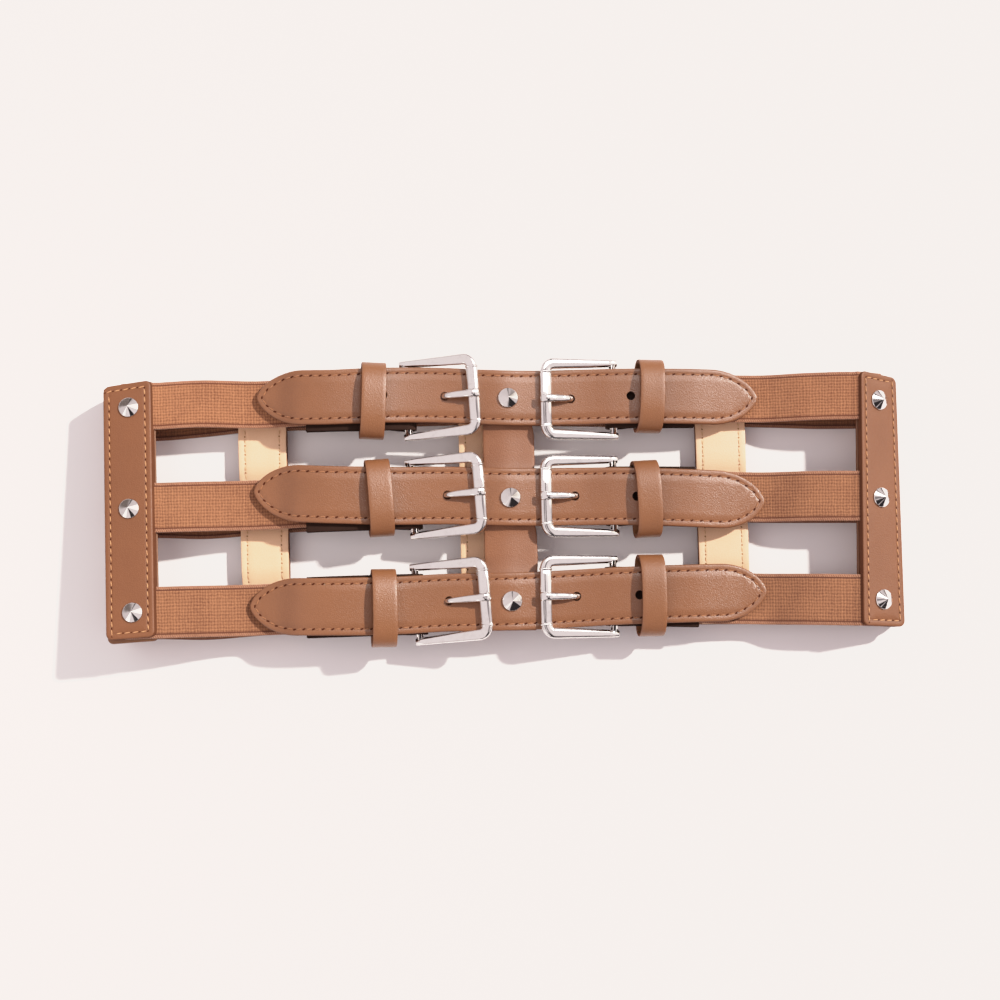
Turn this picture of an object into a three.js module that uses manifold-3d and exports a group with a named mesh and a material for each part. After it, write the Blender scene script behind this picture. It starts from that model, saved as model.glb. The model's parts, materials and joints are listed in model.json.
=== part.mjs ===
// An elastic waist belt of three rows, lying flattened on a surface with its front up.
// Millimetres. +X runs along the belt, +Y goes up the front, +Z is up from the surface.
// Row 1 is the top row of the front, row 2 the middle one and row 3 the lowest.
import * as THREE from 'three';
import { mergeVertices } from 'three/addons/utils/BufferGeometryUtils.js';
import Module from 'manifold-3d';

const wasm = await Module();
wasm.setup();

// Driving dimensions

const gap = 0.3;                 // between pieces that touch
const slack = 0.1;               // extra room where turned or settled pieces close on each other
const gridStep = 7;              // spacing of the cross-sections along a band
const sides = { hole: 10, bar: 12, heelBar: 8, stud: 8, corner: 2 };   // flats round each form
const outlineStep = 30;          // spacing of the points along a band's straight edge
const closest = 0.4;             // cross-sections nearer than this are joined
const beyond = { across: 80, low: -10, high: 60 };   // farther out than any piece, for cutters
const deg = Math.PI / 180;

const strapWidth = 23.6;
const strapThick = 2.0;
const tipLength = 16.6;          // from the strap's full width to its tip
const elasticWidth = 20;
const elasticThick = 1.2;
const chapeWidth = 23;
const plyThick = 1.2;            // one ply of a chape, a back lining
const bendRadius = 3.0;          // middle of the chape's leather round the heel bar

const frameReach = 30;           // heel bar centre to front bar centre
const frameFrontWidth = 34.6;
const frameHeelWidth = 33.2;
const frameWire = 4.2;           // width of the frame's metal at the front corners
const frameHeelWire = 3.2;       // the same at the squared heel ends
const frameThick = 3.4;
const frameCorner = 6.2;         // outer radius of the front corners
const frameRound = 0.9;          // rounding of the frame's edges
const levelShare = 0.965;        // a buckle's reach seen from above, as a share of its length
const barLift = 0.3;             // room under the front bar for the strap's bend
const frontBarRadius = 2.4;
const heelBarRadius = 1.6;
const heelTail = 1.8;            // the sides go on behind the heel bar by this much
const collar = 0.6;              // the front bar runs into each corner by this much

const prongWidth = 3.2;
const prongNeck = 2.2;           // its width where it comes through the hole
const prongThick = 1.8;
const eyeWall = 1.5;
const eyeRise = { along: 1.6, up: 2.1 };   // where the prong's shank leaves its eye
const shankStart = 4.6;          // from here the shank runs close under the strap
const holeRadius = 1.8;
const keyhole = { behind: 4.4, ahead: 3.4 };   // slot of the hole in use, from the hole's centre
const holeShift = 0.4;           // the round part stands this far behind the slot's own centre
const holeAhead = 16.2;          // heel bar centre to the hole in use
const holePitch = 25.2;

const keeperWidth = 12;
const keeperTall = 33.4;
const keeperThick = 1.5;
const keeperHead = 3.2;          // how far the loop arches above the strap
const keeperCorner = 4.6;

const studRadius = 4.3;
const studRim = 0.7;
const studEdge = 0.25;           // the rim's rounding
const studHeight = 3.4;
const postRadius = 1.2;
const studBackRadius = 2.6;
const studBackThick = 0.8;

const tabWidth = 19.6;
const tabTall = 110;
const tabFaceThick = 3.1;
const tabLiningThick = 1.0;
const liningGap = 0.5;
const tabCorner = 2.6;
const tabSkin = 1.55;            // leather of the tab above the elastic
const tabHoleRadius = 2.1;       // round a stud's post, which leans a little in the tab
const tabRoom = 2.6;             // a tab's channel is wider than the elastic by this much
const tabLineX = 161;            // the front elastics' lines are given at this distance from the middle
const tabEntry = 1.3;            // a front elastic takes the tab's slope this far inside its inner edge
const heldReach = 2.7;           // and ends this far outwards from the tab's middle

const centreStripLeft = -9.2;
const centreStripRight = 12.8;
const centreStripThick = 1.5;
const stripWidth = 21.6;
const stripTall = 110;
const stripFaceThick = 3.3;
const stripSkin = 1.5;
const stripRoom = 1.2;           // a strip's channel is wider than the elastic by this much
const stripMiddleY = -2.4;
const stripSlant = 0.5;          // the centre strip is wider at its lower end by this much

// Chapes: where the leather and the elastic inside it end, and how the fold turns with its buckle
const chapeEnd = { left: -85, right: 82 };
const elasticEnd = { left: -60, right: 65 };
const heldPlaces = { left: [-80, -72, -66, -60], right: [64, 68, 74, 80] };
const pliesApart = 1;            // the plies part for the elastic this far before its end
const foldTurn = 14;
const chapeSlot = { length: 13, ahead: 1.6, room: 1.0 };
const pliesClose = [             // the lower ply behind the bar, closing on the upper one
  { behind: 8, from: 'strap', lift: 0 },
  { behind: 3, from: 'bar', lift: 1.2 },
  { behind: 0, from: 'bar', lift: 0 },
];

// The prong's line: through the hole, with its height against the strap, and over the front bar
const prongDive = [
  { ahead: -5.6, face: -1, lift: 0 },
  { ahead: -3.2, face: -1, lift: 0.5 },
  { ahead: 2.4, face: 1, lift: 0.2 },
];
const prongSaddle = [
  { ahead: -3.2, lift: -0.2 }, { ahead: 0, lift: 0 }, { ahead: 2.3, lift: -0.7 },
];
const prongPlan = [              // its width in plan, at places along the buckle
  { along: 1.0, width: prongWidth }, { along: holeAhead - 8, width: prongWidth },
  { along: holeAhead - 4, width: prongNeck }, { along: holeAhead + 1, width: prongNeck },
  { along: frameReach - 5, width: prongWidth }, { along: frameReach + 3, width: prongWidth },
];
const prongRoom = 0.25;
const saddleThin = 0.15;         // the saddle is thinner than the shank by twice this

// Heights of the middle of each band, at places along the belt

const strapHeights = [
  { x: -112, z: 15.6 }, { x: -98, z: 16.6 }, { x: -88, z: 20.0 }, { x: -78, z: 21.0 },
  { x: -66, z: 20.6 }, { x: -56, z: 19.6 }, { x: -42, z: 17.5 }, { x: -30, z: 16.6 },
  { x: -20, z: 16.5 }, { x: -11, z: 16.7 }, { x: 0, z: 17.6 }, { x: 9, z: 16.6 },
  { x: 18, z: 14.1 }, { x: 30, z: 14.2 }, { x: 38, z: 14.6 }, { x: 47, z: 15.5 },
  { x: 62, z: 16.4 }, { x: 80, z: 17.0 }, { x: 92, z: 14.7 }, { x: 102, z: 13.0 },
  { x: 113, z: 12.6 },
];

const frontElasticHeights = {
  left: [
    { x: -166, z: 19.95 }, { x: -150, z: 19.95 }, { x: -142, z: 19.3 }, { x: -130, z: 17.4 },
    { x: -118, z: 14.9 }, { x: -108, z: 13.6 }, { x: -98, z: 14.3 }, { x: -88, z: 16.6 },
  ],
  right: [
    { x: 86, z: 12.8 }, { x: 92, z: 12.2 }, { x: 102, z: 10.9 }, { x: 113, z: 10.5 },
    { x: 120, z: 12.6 }, { x: 128, z: 16.6 }, { x: 140, z: 19.2 }, { x: 148, z: 20.1 },
    { x: 151.4, z: 19.7 },
  ],
};

// The back elastics' middle line from one fold to the other, round both ends

const leftFold = [
  { x: -171.0, z: 19.3 }, { x: -171.4, z: 17.4 }, { x: -171.4, z: 8.5 }, { x: -170.3, z: 4.6 },
  { x: -167.2, z: 1.8 }, { x: -161.6, z: 0.75 },
];
const floorLine = [
  { x: -142, z: 0.7 }, { x: -122, z: 1.2 }, { x: -115.5, z: 2.4 }, { x: -93, z: 2.4 },
  { x: -86.5, z: 1.4 }, { x: -70, z: 0.75 }, { x: -36, z: 0.75 }, { x: -26, z: 1.4 },
  { x: -20, z: 2.4 }, { x: 2.4, z: 2.4 }, { x: 9, z: 1.4 }, { x: 22, z: 0.75 },
  { x: 66, z: 0.75 }, { x: 76.5, z: 1.4 }, { x: 83, z: 2.4 }, { x: 105.5, z: 2.4 },
  { x: 112, z: 1.4 }, { x: 126, z: 0.75 }, { x: 154, z: 0.7 },
];
const rightFold = [
  { x: 163.5, z: 0.75 }, { x: 168.4, z: 1.3 }, { x: 171.0, z: 3.0 }, { x: 171.9, z: 5.6 },
  { x: 171.3, z: 8.3 },
];
const foldReach = { from: 4.4, to: 9.9 };   // the stretch held inside a tab, outwards from its middle

// The front of the belt in plan: each strap's middle line, and how each buckle stands

const rows = [
  {
    row: 1, stud: { x: 2, y: 43.9 }, strapLeft: -106.4, strapRight: 109.8,
    strapLine: [
      { x: -107, y: 45.4 }, { x: -78, y: 44.0 }, { x: -50, y: 44.1 }, { x: -26, y: 44.7 },
      { x: 2, y: 43.9 }, { x: 30, y: 43.7 }, { x: 86, y: 43.4 }, { x: 110, y: 42.7 },
    ],
    left: {
      heelX: -42.0, heelY: 43.0, yaw: 6.0,
      tabY: 42.6, keeperX: -55.7, keeperY: 43.6, lean: -1.3,
    },
    right: {
      heelX: 47.5, heelY: 43.2, yaw: 0.6,
      tabY: 41.6, keeperX: 63.0, keeperY: 43.5, lean: -0.5,
    },
  },
  {
    row: 2, stud: { x: 2.4, y: 0.7 }, strapLeft: -107.8, strapRight: 111.8,
    strapLine: [
      { x: -108, y: 4.8 }, { x: -78, y: 2.5 }, { x: -50, y: 1.9 }, { x: -26, y: 2.0 },
      { x: 2, y: 0.8 }, { x: 30, y: 0.6 }, { x: 86, y: -0.5 }, { x: 112, y: -1.9 },
    ],
    left: {
      heelX: -39.9, heelY: 0.3, yaw: 6.3,
      tabY: -1.9, keeperX: -54.6, keeperY: 1.6, lean: 3.8,
    },
    right: {
      heelX: 46.9, heelY: 0.3, yaw: 0.3,
      tabY: -1.3, keeperX: 61.0, keeperY: -0.3, lean: 3.6,
    },
  },
  {
    row: 3, stud: { x: 2.4, y: -43.6 }, strapLeft: -109.7, strapRight: 111.6,
    strapLine: [
      { x: -110, y: -44.5 }, { x: -78, y: -45.4 }, { x: -50, y: -45.0 }, { x: -26, y: -43.9 },
      { x: 2, y: -43.5 }, { x: 30, y: -42.6 }, { x: 86, y: -40.9 }, { x: 112, y: -40.5 },
    ],
    left: {
      heelX: -38.2, heelY: -44.8, yaw: 4.5,
      tabY: -46.3, keeperX: -51.8, keeperY: -45.6, lean: 2.1,
    },
    right: {
      heelX: 46.0, heelY: -42.9, yaw: -0.6,
      tabY: -44.9, keeperX: 62.2, keeperY: -42.0, lean: 2.5,
    },
  },
];

const backElasticLines = [
  [
    { x: -174, y: 42.3 }, { x: -150, y: 41.8 }, { x: -130, y: 41.2 }, { x: 130, y: 41.9 },
    { x: 174, y: 41.6 },
  ],
  [
    { x: -174, y: -2.3 }, { x: -150, y: -2.8 }, { x: -130, y: -3.5 }, { x: 130, y: -0.6 },
    { x: 174, y: -1.2 },
  ],
  [
    { x: -174, y: -46.6 }, { x: -150, y: -46.9 }, { x: -130, y: -47.4 }, { x: 130, y: -44.9 },
    { x: 174, y: -44.9 },
  ],
];

// Each end tab: its top face from its inner edge to its outer one, and its studs
const tabs = {
  left: {
    inner: { x: -150.3, z: 22.4 }, outer: { x: -169.9, z: 22.4 }, middleY: -2.3,
    studs: [{ row: 1, y: 42.1 }, { row: 2, y: -2.0 }, { row: 3, y: -46.4 }],
  },
  right: {
    inner: { x: 152.7, z: 22.0 }, outer: { x: 170.1, z: 12.95 }, middleY: -3.0,
    studs: [{ row: 1, y: 40.6 }, { row: 2, y: -1.5 }, { row: 3, y: -45.2 }],
  },
};

const backStrips = [
  { side: 'left', x: -104.2, slant: 1.0 },
  { side: 'centre', x: -8.8, slant: 0.3 },
  { side: 'right', x: 94.3, slant: 0.2 },
];

// How the flattened loop lies: both ends lean and stand unevenly
const leftRise = 0.16;
const rightRise = 0.05;
const leftLean = 1.8;
const rightLeanInner = 1.05;
const rightLeanOuter = -0.15;
const halfSpread = 45;
const halfTab = 54;
const leftSettle = { from: -100, over: 50 };
const rightSettle = { from: 115, over: 35 };

// Finishes

function finish(colour, roughness, metalness = 0) {
  return () => new THREE.MeshStandardMaterial({ color: colour, roughness, metalness });
}
const brownLeather = finish(0xb07a5a, 0.55);
const darkLeather = finish(0x8f5f42, 0.65);
const creamLining = finish(0xdfc292, 0.7);
const brownElastic = finish(0xba7c52, 0.85);
const polishedMetal = finish(0xd8d6d4, 0.18, 1.0);

// Small helpers

const belt = new THREE.Group();

function smoothStep(t) {
  const s = Math.min(1, Math.max(0, t));
  return s * s * (3 - 2 * s);
}

// A smooth curve through the rows of a table: gives the value of `key` at any x
function through(table, key) {
  const slope = (i) => {
    const before = table[Math.max(0, i - 1)];
    const after = table[Math.min(table.length - 1, i + 1)];
    return (after[key] - before[key]) / (after.x - before.x);
  };
  return (x) => {
    let i = 0;
    while (i < table.length - 2 && x > table[i + 1].x) i += 1;
    const a = table[i];
    const b = table[i + 1];
    const span = b.x - a.x;
    const t = Math.min(1, Math.max(0, (x - a.x) / span));
    const t2 = t * t;
    const t3 = t2 * t;
    return (2 * t3 - 3 * t2 + 1) * a[key] + (t3 - 2 * t2 + t) * span * slope(i)
      + (3 * t2 - 2 * t3) * b[key] + (t3 - t2) * span * slope(i + 1);
  };
}

// Cross-section places from x0 to x1: both ends, the round steps between, and any places asked for
function stations(x0, x1, extra = [], step = gridStep) {
  const list = [x0, x1];
  for (let x = Math.ceil(x0 / step) * step; x < x1; x += step) list.push(x);
  list.push(...extra.filter((x) => x > x0 && x < x1));
  list.sort((a, b) => a - b);
  return list.filter((x, i) => i === 0 || x - list[i - 1] > closest);
}

function toSolid(geometry) {
  const bare = geometry.index ? geometry.toNonIndexed() : geometry.clone();
  bare.deleteAttribute('normal');
  bare.deleteAttribute('uv');
  const merged = mergeVertices(bare, 1e-4);
  return new wasm.Manifold(new wasm.Mesh({
    numProp: 3,
    vertProperties: new Float32Array(merged.attributes.position.array),
    triVerts: new Uint32Array(merged.index.array),
  }));
}

function toGeometry(solid) {
  const mesh = solid.getMesh();
  const geometry = new THREE.BufferGeometry();
  geometry.setAttribute('position', new THREE.BufferAttribute(mesh.vertProperties.slice(), 3));
  geometry.setIndex(new THREE.BufferAttribute(mesh.triVerts.slice(), 1));
  return geometry;
}

function polygon(points) {
  return new THREE.Shape(points.map((p) => new THREE.Vector2(p[0], p[1])));
}

// An outline in plan, made solid from height z0 to z1
function planSolid(shape, z0, z1) {
  const options = { depth: z1 - z0, bevelEnabled: false, curveSegments: sides.hole / 2 };
  const geometry = new THREE.ExtrudeGeometry(shape, options);
  geometry.translate(0, 0, z0);
  return toSolid(geometry);
}

// A side profile of x and z, made solid from y0 to y1
function profileSolid(shape, y0, y1) {
  const options = { depth: y1 - y0, bevelEnabled: false, curveSegments: sides.hole / 2 };
  const geometry = new THREE.ExtrudeGeometry(shape, options);
  geometry.rotateX(Math.PI / 2);
  geometry.translate(0, y1, 0);
  return toSolid(geometry);
}

// How a point of a soft piece lies once the ends have settled
function settle(point) {
  const left = smoothStep((leftSettle.from - point.x) / leftSettle.over);
  const right = smoothStep((point.x - rightSettle.from) / rightSettle.over);
  const { inner, outer } = tabs.right;
  const rise = 1 + (right * rightRise - left * leftRise) * (point.y / halfSpread);
  const outward = (point.x - inner.x) / (outer.x - inner.x);
  const rightLean = rightLeanInner + (rightLeanOuter - rightLeanInner) * outward;
  const shift = (right * rightLean - left * leftLean) * (point.y / halfTab);
  return new THREE.Vector3(point.x + shift, point.y, point.z * rise);
}

function addMesh(name, geometry, material) {
  const mesh = new THREE.Mesh(geometry, material());
  mesh.name = name;
  geometry.computeVertexNormals();
  belt.add(mesh);
  return mesh;
}

// A soft piece settles with the belt; a metal one keeps its shape
function addSoft(name, solid, material) {
  const geometry = toGeometry(solid);
  const position = geometry.attributes.position;
  for (let i = 0; i < position.count; i += 1) {
    const p = settle(new THREE.Vector3().fromBufferAttribute(position, i));
    position.setXYZ(i, p.x, p.y, p.z);
  }
  return addMesh(name, geometry, material);
}

// Rows of the front

const strapZ = through(strapHeights, 'z');
const underStrap = strapThick / 2 + gap + slack;
const barDrop = underStrap + slack + bendRadius + plyThick / 2;
const closedDrop = underStrap + plyThick * 1.5 + gap;
const stackDrop = underStrap + plyThick + gap + elasticThick / 2;

function sideSign(side) {
  return side === 'left' ? -1 : 1;
}

// Where a buckle stands: its heel bar, its tilt and its turn in plan
function buckleStand(spec, side) {
  const inward = -sideSign(side);
  const heelZ = strapZ(spec.heelX) - barDrop;
  const frontX = spec.heelX + inward * frameReach * levelShare;
  const frontZ = strapZ(frontX) + strapThick / 2 + gap + frontBarRadius + barLift;
  return {
    heel: new THREE.Vector3(spec.heelX, spec.heelY, heelZ),
    tilt: Math.asin((frontZ - heelZ) / frameReach),
    yaw: spec.yaw * deg + (inward > 0 ? 0 : Math.PI),
  };
}

// Turns a piece built along +X from its heel bar, lying flat, into its place on the belt
function standMatrix(stand) {
  const turn = new THREE.Matrix4().makeRotationZ(stand.yaw);
  turn.multiply(new THREE.Matrix4().makeRotationY(-stand.tilt));
  turn.setPosition(stand.heel);
  return turn;
}

function frameSolid() {
  const halfFront = frameFrontWidth / 2;
  const halfHeel = frameHeelWidth / 2;
  const reach = frameReach + frontBarRadius;
  const corner = frameCorner;
  const inset = frameRound;
  const outline = new THREE.Shape();
  outline.moveTo(-heelTail + inset, -halfHeel + inset);
  outline.lineTo(reach - corner, -halfFront + inset);
  outline.absarc(reach - corner, -halfFront + corner, corner - inset, -Math.PI / 2, 0, false);
  outline.absarc(reach - corner, halfFront - corner, corner - inset, 0, Math.PI / 2, false);
  outline.lineTo(-heelTail + inset, halfHeel - inset);
  outline.lineTo(-heelTail + inset, halfHeel - frameHeelWire + inset);
  const innerCorner = corner - frameWire;
  const innerX = reach - frameWire - innerCorner;
  outline.lineTo(innerX, halfFront - frameWire + inset);
  outline.absarc(innerX, halfFront - frameWire - innerCorner, innerCorner + inset, Math.PI / 2, 0, true);
  outline.absarc(innerX, -halfFront + frameWire + innerCorner, innerCorner + inset, 0, -Math.PI / 2, true);
  outline.lineTo(-heelTail + inset, -halfHeel + frameHeelWire - inset);
  const geometry = new THREE.ExtrudeGeometry(outline, {
    depth: frameThick - 2 * inset, bevelEnabled: true, bevelThickness: inset, bevelSize: inset,
    bevelSegments: 1, curveSegments: sides.corner,
  });
  geometry.translate(0, 0, -frameThick / 2 + inset);
  const barLength = frameFrontWidth - 2 * corner + 2 * collar;
  const frontBar = new THREE.CylinderGeometry(frontBarRadius, frontBarRadius, barLength, sides.bar);
  frontBar.translate(frameReach, 0, 0);
  const heelLength = frameHeelWidth - frameHeelWire;
  const heelBar = new THREE.CylinderGeometry(heelBarRadius, heelBarRadius, heelLength, sides.heelBar);
  return toSolid(geometry).add(toSolid(frontBar)).add(toSolid(heelBar));
}

// The prong's side line, from the eye round the heel bar to the saddle over the front bar
function prongLine(stand, side) {
  const inward = -sideSign(side);
  const strapAt = (along) => {
    const x = stand.heel.x + inward * along * Math.cos(stand.tilt);
    const z = strapZ(x) - stand.heel.z;
    return (z - along * Math.sin(stand.tilt)) / Math.cos(stand.tilt);
  };
  const half = prongThick / 2;
  const clear = strapThick / 2 + gap + prongRoom + half;
  const line = [[eyeRise.along, eyeRise.up], [shankStart, strapAt(shankStart) - clear]];
  prongDive.forEach((place) => {
    const along = holeAhead + place.ahead;
    line.push([along, strapAt(along) + place.face * clear + place.lift]);
  });
  prongSaddle.forEach((place) => {
    line.push([frameReach + place.ahead, frontBarRadius + gap + half + place.lift]);
  });
  return line;
}

function prongSolid(stand, side) {
  const line = prongLine(stand, side);
  const saddleFrom = line.length - 2;
  const halfAt = (i) => (i >= saddleFrom ? prongThick / 2 - saddleThin : prongThick / 2);
  const top = line.map((p, i) => [p[0], p[1] + halfAt(i)]);
  const bottom = line.map((p, i) => [p[0], p[1] - halfAt(i)]).reverse();
  const halfWidth = prongWidth / 2;
  const body = profileSolid(polygon(top.concat(bottom)), -halfWidth, halfWidth);
  const near = prongPlan.map((place) => [place.along, -place.width / 2]);
  const away = prongPlan.map((place) => [place.along, place.width / 2]).reverse();
  const shaped = body.intersect(planSolid(polygon(near.concat(away)), -beyond.high, beyond.high));
  const eye = new THREE.Shape();
  eye.absarc(0, 0, heelBarRadius + gap + eyeWall, 0, Math.PI * 2, false);
  const bore = new THREE.Shape();
  bore.absarc(0, 0, heelBarRadius + gap, 0, Math.PI * 2, false);
  return shaped.add(profileSolid(eye, -halfWidth, halfWidth))
    .subtract(profileSolid(bore, -halfWidth - gap, halfWidth + gap));
}

// The hole in use is a keyhole: round where it shows, with a slot under the prong
function holeCutter(stand) {
  const shape = new THREE.Shape();
  const slotHalf = prongNeck / 2 + gap + slack;
  shape.moveTo(holeAhead - keyhole.behind, -slotHalf);
  shape.lineTo(holeAhead + keyhole.ahead, -slotHalf);
  shape.lineTo(holeAhead + keyhole.ahead, slotHalf);
  shape.lineTo(holeAhead - keyhole.behind, slotHalf);
  const geometry = new THREE.ExtrudeGeometry(shape, { depth: beyond.high, bevelEnabled: false });
  const cosTilt = Math.cos(stand.tilt);
  geometry.scale(cosTilt, 1, 1);
  geometry.rotateZ(stand.yaw);
  geometry.translate(stand.heel.x, stand.heel.y, 0);
  return toSolid(geometry);
}

function holePlace(stand, along) {
  const reach = along * Math.cos(stand.tilt);
  return {
    x: stand.heel.x + reach * Math.cos(stand.yaw),
    y: stand.heel.y + reach * Math.sin(stand.yaw),
  };
}

function roundCutter(place, radius) {
  const shape = new THREE.Shape();
  shape.absarc(place.x, place.y, radius, 0, Math.PI * 2, false);
  return planSolid(shape, 0, beyond.high);
}

// A strip of leather or elastic: its side profile cut to its outline in plan
function bandSolid(xs, heightAt, thick, outline) {
  const top = xs.map((x) => [x, heightAt(x) + thick / 2]);
  const bottom = xs.map((x) => [x, heightAt(x) - thick / 2]).reverse();
  const profile = profileSolid(polygon(bottom.concat(top).reverse()), -beyond.across, beyond.across);
  return profile.intersect(planSolid(outline, beyond.low, beyond.high));
}

// Places where a row's bands start or end, which the bands beside them share
function sharedPlaces(row) {
  return [
    row.left.heelX, row.right.heelX, chapeEnd.left, chapeEnd.right, elasticEnd.left, elasticEnd.right,
    centreStripLeft, centreStripRight,
  ];
}

function strapSolid(row) {
  const lineY = through(row.strapLine, 'y');
  const half = strapWidth / 2;
  const tipShares = [0.02, 0.12, 0.32, 0.65];
  const widthAt = (share) => half * Math.pow(1 - Math.pow(1 - share, 1.5), 0.75);
  const upper = [];
  tipShares.forEach((s) => upper.push([row.strapLeft + s * tipLength, widthAt(s)]));
  const straight = stations(row.strapLeft + tipLength, row.strapRight - tipLength, [], outlineStep);
  straight.forEach((x) => upper.push([x, half]));
  tipShares.slice().reverse().forEach((s) => upper.push([row.strapRight - s * tipLength, widthAt(s)]));
  const top = upper.map(([x, w]) => [x, lineY(x) + w]);
  const bottom = upper.map(([x, w]) => [x, lineY(x) - w]).reverse();
  const xs = stations(row.strapLeft - 1, row.strapRight + 1, sharedPlaces(row));
  let solid = bandSolid(xs, strapZ, strapThick, polygon(bottom.concat(top).reverse()));
  solid = solid.subtract(roundCutter(row.stud, postRadius + 2 * gap));
  ['left', 'right'].forEach((side) => {
    const stand = buckleStand(row[side], side);
    const inUse = holePlace(stand, holeAhead);
    const spareX = inUse.x + sideSign(side) * holePitch;
    solid = solid.subtract(holeCutter(stand));
    solid = solid.subtract(roundCutter(holePlace(stand, holeAhead - holeShift), holeRadius));
    solid = solid.subtract(roundCutter({ x: spareX, y: lineY(spareX) }, holeRadius));
  });
  return solid;
}

function elasticLine(row, side) {
  const spec = row[side];
  const tabX = sideSign(side) * tabLineX;
  return (x) => spec.tabY + (spec.heelY - spec.tabY) * (x - tabX) / (spec.heelX - tabX);
}

// Inside the chape the elastic keeps its place under the strap; beyond it, it follows its own table
function frontElasticZ(side) {
  const held = heldPlaces[side].map((x) => ({ x, z: strapZ(x) - stackDrop }));
  const free = frontElasticHeights[side];
  return through(side === 'left' ? free.concat(held) : held.concat(free), 'z');
}

function straightOutline(x0, x1, lineY, width) {
  return polygon([
    [x0, lineY(x0) - width / 2], [x1, lineY(x1) - width / 2],
    [x1, lineY(x1) + width / 2], [x0, lineY(x0) + width / 2],
  ]);
}

function frontElasticSolid(row, side) {
  const lineY = elasticLine(row, side);
  const height = frontElasticZ(side);
  const tab = tabs[side];
  const middle = tabMiddle(side);
  const slope = (tab.outer.z - tab.inner.z) / (tab.outer.x - tab.inner.x);
  const sign = sideSign(side);
  const entry = Math.abs(tab.inner.x) - tabEntry;
  const end = middle.x + sign * heldReach;
  // Inside the tab the elastic follows the tab's own slope
  const heightAll = (x) => (Math.abs(x) > entry - slack ? middle.z + (x - middle.x) * slope : height(x));
  const from = Math.min(elasticEnd[side], sign * entry);
  const to = Math.max(elasticEnd[side], sign * entry);
  const inner = stations(from, to, sharedPlaces(row));
  const xs = sign < 0 ? [end].concat(inner) : inner.concat([end]);
  const outline = straightOutline(xs[0], xs[xs.length - 1], lineY, elasticWidth);
  let solid = bandSolid(xs, heightAll, elasticThick, outline);
  tabCutters(side).forEach((cutter) => { solid = solid.subtract(cutter); });
  return solid;
}

function chapeSolid(row, side) {
  const spec = row[side];
  const sign = sideSign(side);
  const stand = buckleStand(spec, side);
  const bar = stand.heel;
  const elastic = frontElasticZ(side);
  const half = plyThick / 2;
  const plyStep = half + gap + elasticThick / 2;
  const upperAt = (x) => Math.abs(x) > Math.abs(elasticEnd[side]) ? elastic(x) + plyStep
    : strapZ(x) - underStrap - half;
  const joint = Math.abs(elasticEnd[side]) - pliesApart;
  // Behind the bar the two plies close on each other, then part again for the elastic
  const closing = pliesClose.map((place) => {
    const x = bar.x + sign * place.behind;
    const z = place.from === 'bar' ? bar.z - bendRadius : strapZ(x) - closedDrop;
    return { x, z: z + place.lift };
  });
  closing.push({ x: elasticEnd[side], z: elastic(elasticEnd[side]) - plyStep });
  closing.sort((a, b) => a.x - b.x);
  const lowerNear = through(closing, 'z');
  const lowerAt = (x) => Math.abs(x) > joint ? elastic(x) - plyStep : lowerNear(x);
  const end = chapeEnd[side];
  const xs = stations(Math.min(end, bar.x), Math.max(end, bar.x), sharedPlaces(row));
  if (side === 'right') xs.reverse();
  // These places run from the chape's outer end to the bar
  const outer = [];
  xs.forEach((x) => outer.push([x, lowerAt(x) - half]));
  const arcs = 4;
  const inward = -sign;
  for (let k = 1; k < arcs; k += 1) {
    const angle = -Math.PI / 2 + Math.PI * k / arcs;
    outer.push([
      bar.x + inward * (bendRadius + half) * Math.cos(angle),
      bar.z + (bendRadius + half) * Math.sin(angle),
    ]);
  }
  xs.slice().reverse().forEach((x) => outer.push([x, upperAt(x) + half]));
  xs.forEach((x) => outer.push([x, upperAt(x) - half]));
  for (let k = arcs - 1; k > 0; k -= 1) {
    const angle = -Math.PI / 2 + Math.PI * k / arcs;
    outer.push([
      bar.x + inward * (bendRadius - half) * Math.cos(angle),
      bar.z + (bendRadius - half) * Math.sin(angle),
    ]);
  }
  xs.slice().reverse().forEach((x) => outer.push([x, lowerAt(x) + half]));
  const lineY = elasticLine(row, side);
  const far = bar.x + inward * (bendRadius + 1);
  const outline = straightOutline(Math.min(end, far), Math.max(end, far), lineY, chapeWidth);
  const straight = profileSolid(polygon(outer), -beyond.across, beyond.across)
    .intersect(planSolid(outline, beyond.low, beyond.high));
  // Its fold turns in plan with the buckle
  const turned = toGeometry(straight);
  const spots = turned.attributes.position;
  const lean = Math.tan(spec.yaw * deg);
  for (let i = 0; i < spots.count; i += 1) {
    const share = smoothStep(1 - (Math.abs(spots.getX(i)) - Math.abs(bar.x)) / foldTurn);
    spots.setX(i, spots.getX(i) - lean * (spots.getY(i) - bar.y) * share);
  }
  const solid = toSolid(turned);
  // The slot that lets the prong's eye reach the bar
  const slot = new THREE.BoxGeometry(chapeSlot.length, prongWidth + chapeSlot.room, beyond.high);
  slot.translate(chapeSlot.ahead, 0, 0);
  slot.rotateZ(stand.yaw);
  slot.translate(bar.x, bar.y, beyond.high / 2);
  return solid.subtract(toSolid(slot));
}

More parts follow.
